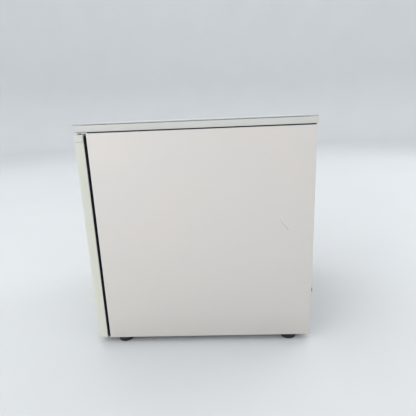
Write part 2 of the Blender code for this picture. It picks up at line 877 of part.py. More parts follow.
def wire_shelf():
    half = SHELF_WIRE / 2
    rest = Matrix.Translation(Vector((0, 0, STEP_TOP + 0.4 + half)) * MM)
    return wire_grid(
        "wire_shelf",
        spread(-SHELF_X + half, SHELF_X - half, SHELF_WIRES),
        spread(SHELF_FRONT + half, SHELF_REAR - half, 3),
        SHELF_WIRE,
        rest,
        "coated_wire",
    )


def thermostat_housing():
    housing = tub("thermostat_housing", HOUSING_LOW, HOUSING_HIGH, 2.0, 3.0, "white_plastic")
    shaft = rod(
        "housing_bore",
        KNOB_SHAFT_R + SMALL_CLEARANCE,
        (KNOB.x, KNOB.y - OVERSHOOT, KNOB.z),
        (KNOB.x, KNOB.y + OVERSHOOT, KNOB.z),
        axis="Y",
    )
    return cut(housing, shaft)


def thermostat_knob():
    face = 12.0  # from the housing to the knob's front
    shaft = 12.0  # and to its shaft's end, inside
    profile = [
        (0, shaft),
        (KNOB_SHAFT_R, shaft),
        (KNOB_SHAFT_R, -GAP * 2),
        (KNOB_R, -GAP * 2),
        (KNOB_R - 1.0, 1.0 - face),
        (KNOB_R - 2.0, -face),
        (0, -face),
    ]
    knob = turned("thermostat_knob", profile, KNOB, "white_plastic", axis="Y")
    grip = block(
        "knob_grip",
        (KNOB.x - 2.0, KNOB.y - face - 4.0, KNOB.z - KNOB_R + 2.5),
        (KNOB.x + 2.0, KNOB.y - face + 1.0, KNOB.z + KNOB_R - 2.5),
        bevel=0.8,
        segments=1,
    )
    return join(knob, grip)


def sensor_tube():
    wall = EVAP_HIGH.x + 2.2
    front, back = -30.0, 60.0
    height = 372.0
    corners = [
        (HOUSING_LOW.x - GAP, front, height),
        (wall, front, height),
        (wall, back, height),
    ]
    return tube("sensor_tube", rounded(corners, 4.0, closed=False), 1.0, "copper")


# Cooling circuit


def mount_places():
    places = {}
    for end, sy in (("front", -1), ("rear", 1)):
        for side, sx in (("left", -1), ("right", 1)):
            places[f"{end}_{side}"] = (COMPRESSOR.x + sx * MOUNT_X, COMPRESSOR.y + sy * MOUNT_Y)
    return places


def compressor():
    seam = 95.0
    top = 150.0
    lid = 22.0  # height of the domed end
    bead = 3.0  # half height of the seam's bead
    waist, hip = 52.0, 40.0  # where the lower shell starts to draw in
    base = MOUNT_BOTTOM + 1.0
    profile = [(0, top)]
    profile += [
        (math.sin(a) * 0.98, top - lid + lid * math.cos(a))
        for a in (math.radians(deg) for deg in (30, 55, 75, 90))
    ]
    profile += [(0.98, seam + bead), (1.0, seam + bead), (1.0, seam - bead), (0.96, seam - bead)]
    profile += [(0.96, waist), (0.86, hip), (0.6, base), (0, base)]
    scaled = [(share * COMPRESSOR_RX, z) for share, z in profile]
    shell = turned("compressor", scaled, (*COMPRESSOR, 0), "black_enamel")
    shell.scale = (1.0, COMPRESSOR_RY / COMPRESSOR_RX, 1.0)
    plate = block(
        "compressor_plate",
        (COMPRESSOR.x - MOUNT_X - MOUNT_MARGIN, COMPRESSOR.y - MOUNT_Y - MOUNT_MARGIN, MOUNT_BOTTOM),
        (COMPRESSOR.x + MOUNT_X + MOUNT_MARGIN, COMPRESSOR.y + MOUNT_Y + MOUNT_MARGIN, MOUNT_TOP),
    )
    join(shell, plate)
    for corner, place in mount_places().items():
        cut(shell, hole(f"mount_hole_{corner}", 5.0, place, 0, MOUNT_TOP + 3.0))
    return shell


def compressor_mounts():
    foot = CASE_BOTTOM + STEP + GAP - MOUNT_BOTTOM + GAP
    bore = PIN_R + 0.6
    shoulder, skirt = 7.0, 9.0
    nut_bore, nut_r, nut_height = 3.8, 6.5, 5.0
    for corner, place in mount_places().items():
        ring = [(bore, 0), (shoulder, 0), (skirt, -3.0), (skirt, foot), (bore, foot)]
        turned(
            f"compressor_grommet_{corner}",
            ring,
            (*place, MOUNT_BOTTOM - GAP),
            "black_rubber",
            closed=True,
            steps=16,
        )
        nut = [(nut_bore, nut_height), (nut_r, nut_height), (nut_r, 0), (nut_bore, 0)]
        turned(
            f"compressor_nut_{corner}",
            nut,
            (*place, MOUNT_TOP + GAP),
            "zinc_steel",
            closed=True,
            steps=6,
        )


def relay_cover():
    face = COMPRESSOR.x + COMPRESSOR_RX + GAP
    half = 22.0
    reach = 26.0
    bottom, top = 52.0, 98.0
    return block(
        "relay_cover",
        (face, COMPRESSOR.y - half, bottom),
        (face + reach, COMPRESSOR.y + half, top),
        "black_plastic",
        bevel=4.0,
    )


def condenser_tube():
    overhang = 20.0  # of each pass past the outer wires
    corners = [(-RISER_X, INLET_Z)]
    for i in range(PASSES):
        z = CONDENSER_BOTTOM + PASS_PITCH * i
        ends = (-CONDENSER_X - overhang, CONDENSER_X + overhang)
        start, end = ends if i % 2 == 0 else ends[::-1]
        corners += [(-RISER_X if i == 0 else start, z), (RISER_X if i == PASSES - 1 else end, z)]
    corners.append((RISER_X, DRIER_TOP + GAP))
    places = [(x, CONDENSER_Y, z) for x, z in corners]
    path = rounded(places, RISER_BEND, steps=5, closed=False)
    return tube("condenser_tube", path, TUBE_R, "black_enamel")


def condenser_wires():
    wire = 1.4
    turn = Matrix.Rotation(math.pi / 2, 4, "X")
    place = Vector((0, CONDENSER_Y + TUBE_R + GAP + wire / 2, 0)) * MM
    return wire_grid(
        "condenser_wires",
        spread(-CONDENSER_X, CONDENSER_X, 23),
        spread(CONDENSER_BOTTOM - 20.0, CONDENSER_BOTTOM + PASS_PITCH * (PASSES - 1) + 14.0, 3),
        wire,
        Matrix.Translation(place) @ turn,
        "black_enamel",
    )


def condenser_bars():
    half = BAR_HEIGHT / 2
    lower = block(
        "condenser_bar_lower",
        (-CASE_X + 4.0, CASE_REAR + GAP, BAR_Z - half),
        (CASE_X - 4.0, DEPTH / 2, BAR_Z + half),
        "black_enamel",
    )
    for side, x in (("left", -BAR_TAB_X), ("right", BAR_TAB_X - BAR_TAB_WIDTH)):
        tab = block(
            f"bar_tab_{side}",
            (x, CONDENSER_Y + TUBE_R + 3.0, BAR_Z - half),
            (x + BAR_TAB_WIDTH, CASE_REAR + SHEET, BAR_Z + half),
        )
        join(lower, tab)
    return lower, block(
        "condenser_bar_upper",
        (-CASE_X + SHEET + GAP, CASE_REAR - SHEET - GAP - STEP, UPPER_BAR_Z),
        (CASE_X - SHEET - GAP, CASE_REAR - SHEET - GAP, UPPER_BAR_Z + BAR_HEIGHT),
        "black_enamel",
    )


def discharge_tube():
    start = COMPRESSOR.x - COMPRESSOR_RX - GAP
    corners = [
        (start, COMPRESSOR.y, TUBE_Z),
        (-RISER_X, COMPRESSOR.y, TUBE_Z),
        (-RISER_X, CONDENSER_Y, TUBE_Z),
        (-RISER_X, CONDENSER_Y, INLET_Z - GAP),
    ]
    return tube("discharge_tube", rounded(corners, RISER_BEND, closed=False), TUBE_R, "copper")


def suction_tube():
    start = COMPRESSOR.x + COMPRESSOR_RX + GAP
    corners = [
        (start, COMPRESSOR.y, SUCTION_Z),
        (SUCTION.x, COMPRESSOR.y, SUCTION_Z),
        (*SUCTION, BAY_TOP + 6.0),
    ]
    return tube("suction_tube", rounded(corners, RISER_BEND, closed=False), SUCTION_R, "copper")


def filter_drier():
    neck = 3.2
    shoulder = 14.0
    profile = [(0, 0), (neck, 0), (neck, -6.0), (DRIER_R, -shoulder), (DRIER_R, shoulder - DRIER_LENGTH)]
    profile += [(neck, 6.0 - DRIER_LENGTH), (neck, -DRIER_LENGTH), (0, -DRIER_LENGTH)]
    return turned("filter_drier", profile, (RISER_X, CONDENSER_Y, DRIER_TOP), "copper", steps=16)


def capillary_tube():
    low = 50.0
    lead = COIL.y - 12.0  # the tube runs in to its coil along here
    exit_y = COIL.y + 3.0
    corners = [
        (RISER_X, CONDENSER_Y, DRIER_TOP - DRIER_LENGTH - GAP),
        (RISER_X, CONDENSER_Y, low),
        (RISER_X, lead, low),
        (COIL.x + COIL_R, lead, low),
    ]
    path = rounded(corners, 7.0, steps=3, closed=False)
    turns = 3
    per_turn = 12
    for i in range(turns * per_turn + 1):
        angle = math.tau * i / per_turn
        across = COIL_R * Vector((math.cos(angle), math.sin(angle)))
        path.append(Vector((*(COIL + across), low + 2.0 + i)))
    path.append(Vector((COIL.x + COIL_R, exit_y, path[-1].z + 8.0)))
    path.append(Vector((COIL.x + COIL_R, exit_y, BAY_TOP + 5.0)))
    return tube("capillary_tube", path, CAPILLARY_R, "copper", resolution=1)


def cord_gland():
    """Grommet that guards the mains cord's way out through the base's rear lip."""
    bore, neck, collar = 3.4, 4.7, 7.5
    outside = 2.8
    inside = -STEP - 2.5
    profile = [
        (bore, outside),
        (collar, outside),
        (collar, GAP),
        (neck, GAP),
        (neck, -STEP - GAP),
        (collar, -STEP - GAP),
        (collar, inside),
        (bore, inside),
    ]
    centre = (GLAND.x, BASE_REAR, GLAND.z)
    return turned("cord_gland", profile, centre, "black_rubber", axis="Y", closed=True, steps=16)


# Door


def door_skin():
    outer = [(-CASE_X, DOOR_BACK), (-CASE_X, DOOR_FRONT), (CASE_X, DOOR_FRONT), (CASE_X, DOOR_BACK)]
    inner_x = CASE_X - SKIN
    hem = CASE_X - HEM_WIDTH
    front = DOOR_FRONT + SKIN
    back = DOOR_BACK - SKIN
    corner = 3.0

    def arc(x, y, radius, start):
        for k in range(4):
            angle = math.radians(start + 30 * k)
            yield (x + radius * math.cos(angle), y + radius * math.sin(angle))

    shape = [outer[0]]
    shape += arc(-CASE_X + corner, DOOR_FRONT + corner, corner, 180)
    shape += arc(CASE_X - corner, DOOR_FRONT + corner, corner, 270)
    shape += [outer[3], (hem, DOOR_BACK), (hem, back), (inner_x, back)]
    shape += reversed(list(arc(inner_x - corner + SKIN, front + corner - SKIN, corner - SKIN, 270)))
    shape += reversed(list(arc(-inner_x + corner - SKIN, front + corner - SKIN, corner - SKIN, 180)))
    shape += [(-inner_x, back), (-hem, back), (-hem, DOOR_BACK)]
    skin = outline(
        "door_skin",
        shape,
        DOOR_BOTTOM + CAP_HEIGHT + GAP,
        DOOR_TOP - CAP_HEIGHT - GAP,
        "XY",
        "door_enamel",
    )
    return cut(skin, grip_room("skin_grip_cut", -CASE_X - OVERSHOOT))


def grip_room(name, x):
    """Room for the pocket grip, with its clearance, starting at x."""
    return block(
        name,
        (x, DOOR_FRONT + GRIP_MARGIN - GAP, GRIP_BOTTOM - GAP),
        (-CASE_X + GRIP_DEPTH + GAP, DOOR_BACK - GRIP_MARGIN + GAP, GRIP_TOP + GAP),
    )


def door_foam():
    side = CASE_X - SKIN - GAP
    foam = block(
        "door_foam",
        (-side, DOOR_FRONT + SKIN + GAP, DOOR_BOTTOM + CAP_HEIGHT + 2 * GAP),
        (side, PLATE_BACK - GAP, DOOR_TOP - CAP_HEIGHT - 2 * GAP),
        "foam",
        bevel=2.5,
        segments=1,
    )
    inset = STEP + GAP
    pan = block(
        "foam_pan",
        (-PAN_X + inset, DOOR_FRONT + 5.0, PAN_BOTTOM + inset),
        (PAN_X - inset, PAN_FRONT - inset, PAN_TOP - inset),
    )
    return cut(join(foam, pan), grip_room("foam_grip_cut", -CASE_X - OVERSHOOT))


def door_liner():
    half = FLANGE_X + 1.7
    plate = block(
        "door_liner",
        (-half, PLATE_BACK, DOOR_BOTTOM + CAP_HEIGHT + 2.0),
        (half, PLATE_FRONT, DOOR_TOP - CAP_HEIGHT - 2.0),
        "white_plastic",
    )
    pan = block(
        "liner_pan",
        (-PAN_X, PLATE_BACK + STEP / 2, PAN_BOTTOM),
        (PAN_X, PAN_FRONT, PAN_TOP),
        bevel=3.0,
    )
    join(plate, pan)
    hollow = block(
        "liner_pan_hollow",
        (-PAN_X + STEP, PLATE_BACK - OVERSHOOT, PAN_BOTTOM + STEP),
        (PAN_X - STEP, PAN_FRONT - STEP, PAN_TOP - STEP),
    )
    ridges = []
    grooves = []
    for side, x in (("left", -PAN_X), ("right", PAN_X - RIDGE_WIDTH)):
        ridges.append(
            block(
                f"liner_ridge_{side}",
                (x, PLATE_BACK + STEP / 2, RIDGE_START),
                (x + RIDGE_WIDTH, RIDGE_FRONT, RIDGE_TOP),
                bevel=2.5,
            )
        )
        grooves.append(
            block(
                f"liner_groove_{side}",
                (x + STEP, PLATE_BACK - OVERSHOOT, RIDGE_START + STEP),
                (x + RIDGE_WIDTH - STEP, RIDGE_FRONT - STEP, RIDGE_TOP - STEP),
                bevel=1.0,
                segments=1,
            )
        )
    join(plate, *ridges)
    return cut(plate, hollow, *grooves)


def door_gasket():
    """Flange against the door, nearly out to its edges, with a narrower bulb against the case."""
    back = PLATE_FRONT + GAP
    seal = block(
        "door_gasket",
        (-SEAL_X, back, SEAL_LOW),
        (SEAL_X, back + SEAL_FLANGE, SEAL_HIGH),
        "gasket_rubber",
    )
    bulb = block(
        "gasket_bulb",
        (-SEAL_X + SEAL_STEP, back + SEAL_FLANGE / 2, SEAL_LOW + SEAL_STEP),
        (SEAL_X - SEAL_STEP, CASE_FRONT - GAP, SEAL_HIGH - SEAL_STEP),
    )
    middle = block(
        "gasket_middle",
        (-FLANGE_X + 7.0, DOOR_BACK - OVERSHOOT, LIP_TOP + 2.0),
        (FLANGE_X - 7.0, CASE_FRONT + OVERSHOOT, FLANGE_TOP - 5.0),
    )
    return cut(join(seal, bulb), middle)


def door_cap(name, low, mouth):
    """End cap of the door with a blind socket for the hinge bush, open at the mouth."""
    cap = block(
        name,
        (-CASE_X, DOOR_FRONT, low),
        (CASE_X, DOOR_BACK, low + CAP_HEIGHT),
        "white_plastic",
        bevel=1.5,
    )
    depth = BUSH_DEPTH + GAP
    away = 1 if mouth > low else -1
    socket = hole(
        f"{name}_socket",
        BUSH_R + GAP,
        HINGE,
        min(mouth - away * depth, mouth + away * OVERSHOOT),
        max(mouth - away * depth, mouth + away * OVERSHOOT),
    )
    return cut(cap, socket)


def hinge_bush(name, mouth, up):
    """Blind bush whose mouth takes a hinge pin."""
    bore = PIN_R + SMALL_CLEARANCE
    depth = PIN_REACH + 1.0
    floor = BUSH_DEPTH
    profile = [(0, -depth), (bore, -depth), (bore, 0), (BUSH_R, 0), (BUSH_R, -floor), (0, -floor)]
    bush = turned(name, profile, (HINGE.x, HINGE.y, mouth), "black_plastic")
    if not up:
        bush.rotation_euler = (math.pi, 0, 0)
    return bush


def door_grip():
    margin = GRIP_MARGIN
    grip = block(
        "door_grip",
        (-CASE_X, DOOR_FRONT + margin, GRIP_BOTTOM),
        (-CASE_X + GRIP_DEPTH, DOOR_BACK - margin, GRIP_TOP),
        "white_plastic",
    )
    pocket = block(
        "grip_pocket",
        (-CASE_X - OVERSHOOT, DOOR_FRONT + margin + STEP, GRIP_BOTTOM + STEP),
        (-CASE_X + GRIP_DEPTH - STEP, DOOR_BACK - margin - STEP, GRIP_TOP - STEP),
        bevel=3.0,
    )
    return cut(grip, pocket)


def door_rack(name, bottom, top, front):
    back = PAN_FRONT + 0.4
    return tub(name, (-RACK_X, back, bottom), (RACK_X, front, top), 2.0, 4.0, "clear_plastic")


def door():
    lower_mouth = DOOR_BOTTOM
    pieces = [
        door_skin(),
        door_foam(),
        door_liner(),
        door_gasket(),
        door_cap("door_top_cap", DOOR_TOP - CAP_HEIGHT, DOOR_TOP),
        door_cap("door_bottom_cap", DOOR_BOTTOM, lower_mouth),
        hinge_bush("upper_hinge_bush", DOOR_TOP, up=True),
        hinge_bush("lower_hinge_bush", lower_mouth, up=False),
        door_grip(),
        door_rack("door_rack_upper", *UPPER_RACK),
        door_rack("door_rack_lower", *LOWER_RACK),
    ]
    pivot("door_pivot", HINGE, pieces)


# Holes that pass through several pieces


def drill(case, foam, base, tray, bay, plates, worktop):
    upper_plate, lower_plate = plates
    for name, place in UPPER_SCREWS.items():
        drilled = hole(f"{name}_hole", SCREW_HOLE_R, place, CASE_TOP - SCREW_LENGTH - 3.0, HEIGHT - 8.0)
        for piece in (upper_plate, case, foam):
            cut(piece, drilled)
    for name, place in LOWER_SCREWS.items():
        drilled = hole(f"{name}_hole", SCREW_HOLE_R, place, 0.0, CASE_BOTTOM + SCREW_LENGTH + 3.0)
        for piece in (lower_plate, base, foam):
            cut(piece, drilled)
    for side, x in (("left", -FOOT_X), ("right", FOOT_X)):
        place = (x, FRONT_FOOT_Y)
        thread = hole(f"foot_thread_{side}", STUD_R + SMALL_CLEARANCE, place, 0.0, FOOT_HEIGHT + OVERSHOOT)
        room = hole(f"foot_room_{side}", STUD_R + 1.0, place, 0.0, STUD_TOP + 3.0)
        cut(base, thread)
        cut(foam, room)
        cut(tray, hole(f"rear_foot_hole_{side}", STUD_R, (x, REAR_FOOT_Y), 0.0, 30.0))
        if side == "right":
            cut(lower_plate, thread)
    for name, place, radius in (
        ("suction_hole", SUCTION, SUCTION_R + 1.0),
        ("capillary_hole", (COIL.x + COIL_R, COIL.y + 3.0), CAPILLARY_R + 1.0),
    ):
        passage = hole(name, radius, place, BAY_TOP - OVERSHOOT, BAY_TOP + 2 * OVERSHOOT)
        cut(bay, passage)
        cut(foam, passage)
    recess = block(
        "hinge_recess",
        (PLATE_X[0] - 4.0, DOOR_FRONT + 2.0, CASE_TOP - OVERSHOOT),
        (PLATE_X[1] + 2.0, RECESS_BACK, UPPER_PLATE_Z + PLATE_THICKNESS + SCREW_HEAD + 1.0),
    )
    for piece in worktop:
        cut(piece, recess)


def cabinet():
    case = outer_case()
    foam = foam_insulation()
    inner_liner()
    back_panel()
    bay = compressor_bay()
    base = base_panel()
    tray = compressor_base()
    plates = (upper_hinge(), lower_hinge())
    worktop = (worktop_frame(), worktop_board())
    drill(case, foam, base, tray, bay, plates, worktop)
    screws()
    rear_foot("left", -FOOT_X)
    rear_foot("right", FOOT_X)


def cooling_circuit():
    evaporator()
    compressor()
    compressor_mounts()
    relay_cover()
    condenser_tube()
    condenser_wires()
    condenser_bars()
    discharge_tube()
    suction_tube()
    filter_drier()
    capillary_tube()
    cord_gland()


def fittings():
    freezer_surround()
    thermostat_housing()
    sensor_tube()
    pivot("freezer_flap_pivot", FLAP_AXIS, [freezer_flap()])
    pivot("drip_tray_slide", (0, SURROUND_FRONT, RAIL_BOTTOM), [drip_tray()])
    pivot("wire_shelf_slide", (0, SHELF_FRONT, STEP_TOP), [wire_shelf()])
    pivot("thermostat_knob_pivot", KNOB, [thermostat_knob()])


def feet():
    for side, x in (("left", -FOOT_X), ("right", FOOT_X)):
        pivot(f"front_{side}_foot_pivot", (x, FRONT_FOOT_Y, 0), front_foot(side, x))


def shade_round_pieces():
    for made in PARTS.objects:
        if made.type == "MESH":
            made.data.shade_smooth()
            made.data.set_sharp_from_angle(angle=math.radians(30))


cabinet()
cooling_circuit()
fittings()
feet()
door()
shade_round_pieces()
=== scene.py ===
"""Looks of the mini fridge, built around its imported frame.

Metres, +Z up. The door faces -Y and is hinged on the +X side. Positions come from the frame's boxes.
"""

import math

import bmesh
import bpy
from mathutils import Matrix, Vector


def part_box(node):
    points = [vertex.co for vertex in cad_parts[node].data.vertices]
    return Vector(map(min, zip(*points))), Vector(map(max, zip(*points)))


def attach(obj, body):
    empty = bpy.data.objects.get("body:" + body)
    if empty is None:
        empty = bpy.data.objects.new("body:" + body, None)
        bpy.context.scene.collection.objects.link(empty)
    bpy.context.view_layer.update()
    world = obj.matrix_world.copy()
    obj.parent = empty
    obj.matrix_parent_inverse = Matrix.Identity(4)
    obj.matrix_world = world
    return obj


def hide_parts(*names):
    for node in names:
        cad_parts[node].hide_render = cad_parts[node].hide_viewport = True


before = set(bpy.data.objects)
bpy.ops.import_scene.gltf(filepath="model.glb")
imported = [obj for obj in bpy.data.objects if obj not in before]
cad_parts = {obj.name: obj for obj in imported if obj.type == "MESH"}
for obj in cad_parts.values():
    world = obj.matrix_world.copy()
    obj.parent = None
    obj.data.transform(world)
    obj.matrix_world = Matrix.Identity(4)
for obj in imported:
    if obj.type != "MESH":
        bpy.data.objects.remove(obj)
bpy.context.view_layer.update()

CASE_LOW, CASE_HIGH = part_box("outer_case")
SAME = 1e-6  # places closer than this are one
MATERIALS = {}


# Materials. Colours are 8-bit display colours, and a noise is its scale, detail and roughness.


def srgb(colour):
    """Linear colour of a display colour."""
    return tuple(
        value / 12.92 if value <= 0.04045 else ((value + 0.055) / 1.055) ** 2.4
        for value in (channel / 255 for channel in colour)
    )


class Surface:
    """A material whose nodes are added one call at a time."""

    def __init__(self, name, colour, roughness, metallic=0.0, **settings):
        self.material = MATERIALS[name] = bpy.data.materials.new(name)
        self.material.use_nodes = True
        self.tree = self.material.node_tree
        self.shader = self.tree.nodes["Principled BSDF"]
        self.place = self.node("ShaderNodeTexCoord").outputs["Object"]
        self.rough = roughness
        self.colour = (*srgb(colour), 1.0)  # this colour, or the output that holds the tinted one
        self.normal = None
        settings |= {"Base_Color": self.colour, "Roughness": roughness, "Metallic": metallic}
        for key, value in settings.items():
            self.feed(self.shader, key.replace("_", " "), value)

    def feed(self, node, key, value):
        """Gives an input a value, or links it to an output."""
        if isinstance(value, bpy.types.NodeSocket):
            self.tree.links.new(value, node.inputs[key])
        else:
            node.inputs[key].default_value = value

    def node(self, kind, inputs=None, **options):
        made = self.tree.nodes.new(kind)
        for key, value in options.items():
            setattr(made, key, value)
        for key, value in (inputs or {}).items():
            self.feed(made, key, value)
        return made

    def noise(self, scale, detail=4.0, roughness=0.5, stretch=None):
        vector = self.place
        if stretch:
            vector = self.node("ShaderNodeMapping", {"Vector": vector, "Scale": stretch}).outputs["Vector"]
        inputs = {"Vector": vector, "Scale": scale, "Detail": detail, "Roughness": roughness}
        return self.node("ShaderNodeTexNoise", inputs).outputs["Fac"]

    def cells(self, scale):
        return self.node("ShaderNodeTexVoronoi", {"Vector": self.place, "Scale": scale}).outputs

    def ranged(self, value, low, high, to_low, to_high):
        inputs = {"Value": value, "From Min": low, "From Max": high, "To Min": to_low, "To Max": to_high}
        return self.node("ShaderNodeMapRange", inputs).outputs["Result"]

    def maths(self, operation, first, second=0.0):
        return self.node("ShaderNodeMath", {0: first, 1: second}, operation=operation).outputs["Value"]

    def split(self, vector):
        return self.node("ShaderNodeSeparateXYZ", {"Vector": vector}).outputs

    def tint(self, factor, linear):
        """Mixes a linear colour over what is there, by a factor from 0 to 1."""
        inputs = {"Factor": factor, "A": self.colour, "B": (*linear, 1.0)}
        self.colour = self.node("ShaderNodeMix", inputs, data_type="RGBA").outputs["Result"]
        self.feed(self.shader, "Base Color", self.colour)

    def patches(self, colour, noise, low, high, amount):
        """Tints where a noise is strong: nothing up to low, rising to the amount at high."""
        self.tint(self.ranged(self.noise(*noise), low, high, 0.0, amount), srgb(colour))

    def rubbed(self, noise, spread):
        """Roughness that runs with a noise, by the spread either way."""
        value = self.ranged(self.noise(*noise), 0.3, 0.7, self.rough - spread, self.rough + spread)
        self.feed(self.shader, "Roughness", value)

    def bump(self, value, distance, strength):
        inputs = {"Height": value, "Distance": distance, "Strength": strength}
        if self.normal is not None:
            inputs["Normal"] = self.normal
        self.normal = self.node("ShaderNodeBump", inputs).outputs["Normal"]
        self.feed(self.shader, "Normal", self.normal)

    def grain(self, noise, distance, strength):
        self.bump(self.noise(*noise), distance, strength)

    def up(self):
        """How far the surface faces up, 0 to 1."""
        normal = self.node("ShaderNodeNewGeometry").outputs["Normal"]
        return self.ranged(self.split(normal)["Z"], 0.2, 0.95, 0.0, 1.0)

    def grime(self, bottom, top, amount, colour):
        """Tint that is strongest at the bottom height and gone at the top one."""
        self.tint(self.ranged(self.split(self.place)["Z"], bottom, top, amount, 0.0), srgb(colour))

    def edge_wear(self, radius, colour, amount):
        """Tints the sharp edges, where handling has polished or chipped them."""
        soft = self.node("ShaderNodeBevel", {"Radius": radius}, samples=4).outputs["Normal"]
        hard = self.node("ShaderNodeNewGeometry").outputs["Normal"]
        dot = self.node("ShaderNodeVectorMath", {0: soft, 1: hard}, operation="DOT_PRODUCT").outputs["Value"]
        edge = self.ranged(dot, 0.98, 0.8, 0.0, 1.0)
        broken = self.ranged(self.noise(160.0, 5.0), 0.42, 0.62, 0.0, amount)
        self.tint(self.maths("MULTIPLY", edge, broken), srgb(colour))

    def scratch(self, start, end, width, colour):
        """Fine scratch on the hinge side, between two (y, z) places, wandering a little."""
        start, end = Vector(start), Vector(end)
        middle, along = (start + end) / 2, end - start
        turn = (math.atan2(along.y, along.x), 0.0, 0.0)
        lie = {"Vector": self.place, "Location": (0.0, *middle), "Rotation": turn}
        turned = self.split(self.node("ShaderNodeMapping", lie, vector_type="TEXTURE").outputs["Vector"])
        wander = self.ranged(self.noise(70.0, 2.0), 0.3, 0.7, -0.0011, 0.0011)
        across = self.maths("ABSOLUTE", self.maths("ADD", turned["Z"], wander))
        near = self.ranged(across, width, width * 0.4, 0.0, 1.0)
        beyond = self.maths("ABSOLUTE", turned["Y"])
        inside = self.ranged(beyond, along.length / 2, along.length * 0.4, 0.0, 0.75)
        on_side = self.ranged(turned["X"], 0.2, 0.21, 0.0, 1.0)
        self.tint(self.maths("MULTIPLY", self.maths("MULTIPLY", near, inside), on_side), srgb(colour))


def enamel(name, colour, warm, cool):
    """Sprayed paint on steel sheet: orange peel, slow waves in the sheet, and handling marks."""
    paint = Surface(name, colour, 0.48, Coat_Weight=0.08, Coat_Roughness=0.3)
    paint.patches(warm, (4.0, 2.0), 0.3, 0.7, 0.6)
    paint.patches(cool, (9.0, 3.0), 0.3, 0.8, 0.4)
    paint.rubbed((26.0, 7.0, 0.65), 0.09)
    paint.grain((3.2, 1.0), 0.0012, 0.25)
    paint.grain((650.0, 2.0), 0.00003, 0.35)
    return paint


def enamels():
    case = enamel("case_enamel", (218, 213, 208), (220, 213, 204), (212, 210, 209))
    # darker towards the bottom of the case
    case.grime(0.01, 0.07, 0.1, (186, 180, 168))
    case.scratch((0.168, 0.282), (0.187, 0.259), 0.0005, (152, 147, 141))
    case.edge_wear(0.0006, (150, 146, 140), 0.35)
    door = enamel("door_enamel", (218, 218, 206), (220, 218, 202), (212, 213, 204))
    door.edge_wear(0.0006, (150, 148, 140), 0.3)


def moulded(name, colour, roughness, wear=(), grain=900.0, stain=None):
    """Moulded plastic: fine grain, a slow change of tone and rubbed edges."""
    plastic = Surface(name, colour, roughness)
    darker = srgb(stain) if stain else tuple(c * 0.86 for c in srgb(colour))
    plastic.tint(plastic.ranged(plastic.noise(9.0, 5.0), 0.45, 0.8, 0.0, 0.5), darker)
    plastic.rubbed((24.0, 4.0), 0.05)
    plastic.grain((grain, 3.0), 0.00004, 0.4)
    plastic.grain((6.0, 1.0), 0.0006, 0.2)
    if wear:
        plastic.edge_wear(*wear)


def plastics():
    moulded("worktop_plastic", (207, 207, 202), 0.42, (0.0005, (180, 178, 170), 0.4))
    moulded("liner_plastic", (232, 232, 227), 0.32, grain=420.0)
    moulded("white_plastic", (229, 230, 224), 0.36, (0.0004, (196, 193, 182), 0.4))
    moulded("door_plastic", (218, 219, 208), 0.36, (0.0004, (196, 193, 182), 0.3))
    moulded("black_plastic", (30, 30, 32), 0.46, (0.0004, (92, 92, 92), 0.5), stain=(52, 52, 52))


def worktop_laminate():
    """Textured laminate with a pebbled surface: pale on the faces that point up, grey on the rest."""
    sheet = Surface("worktop_laminate", (188, 190, 191), 0.5, Specular_IOR_Level=0.35)
    sheet.tint(sheet.ranged(sheet.up(), 0.5, 1.0, 0.0, 1.0), srgb((208, 209, 204)))
    sheet.patches((205, 202, 194), (60.0, 8.0, 0.7), 0.45, 0.75, 0.12)
    sheet.tint(sheet.ranged(sheet.cells(900.0)["Distance"], 0.22, 0.1, 0.0, 0.12), srgb((168, 166, 160)))
    sheet.rubbed((18.0, 6.0, 0.6), 0.08)
    sheet.grain((700.0, 3.0, 0.6), 0.00006, 0.5)


def clear_plastic():
    """Frosted polystyrene, a little blue, with rub marks."""
    plastic = Surface("clear_plastic", (250, 252, 252), 0.16, Transmission_Weight=0.62, IOR=1.3)
    plastic.patches((240, 246, 248), (14.0, 6.0), 0.4, 0.8, 0.3)
    plastic.rubbed((45.0, 5.0, 0.6), 0.06)
    plastic.grain((500.0, 2.0), 0.00003, 0.4)


def foam():
    block = Surface("foam", (222, 206, 150), 0.9)
    pores = block.cells(700.0)["Distance"]
    block.tint(block.ranged(pores, 0.2, 0.5, 0.0, 0.6), srgb((196, 176, 116)))
    block.bump(pores, 0.0005, 0.8)
    block.rubbed((30.0,), 0.05)


def gasket_rubber():
    """Magnetic door seal in near-black blue vinyl, with dust in its folds."""
    seal = Surface("gasket_rubber", (5, 7, 25), 0.62, Specular_IOR_Level=0.16)
    seal.patches((30, 32, 50), (45.0, 7.0, 0.7), 0.5, 0.8, 0.2)
    seal.rubbed((60.0, 6.0), 0.12)
    seal.grain((380.0, 4.0), 0.00006, 0.5)


def black_rubber():
    rubber = Surface("black_rubber", (27, 29, 28), 0.72)
    rubber.patches((66, 68, 64), (90.0, 8.0, 0.7), 0.5, 0.75, 0.5)
    rubber.grime(0.0, 0.004, 0.5, (98, 96, 90))
    rubber.rubbed((120.0, 5.0), 0.12)
    rubber.grain((1100.0, 3.0), 0.0001, 0.6)


def black_enamel():
    """Stoved black paint with the dust that settles behind a fridge."""
    paint = Surface("black_enamel", (20, 20, 22), 0.36)
    dust = paint.ranged(paint.noise(34.0, 8.0, 0.65), 0.38, 0.72, 0.15, 0.9)
    paint.tint(paint.maths("MULTIPLY", paint.up(), dust), srgb((118, 112, 102)))
    paint.patches((60, 56, 52), (150.0, 6.0, 0.7), 0.58, 0.75, 0.35)
    paint.rubbed((55.0, 6.0, 0.6), 0.14)
    paint.grain((420.0, 3.0), 0.00006, 0.5)
    paint.edge_wear(0.0004, (96, 92, 88), 0.5)


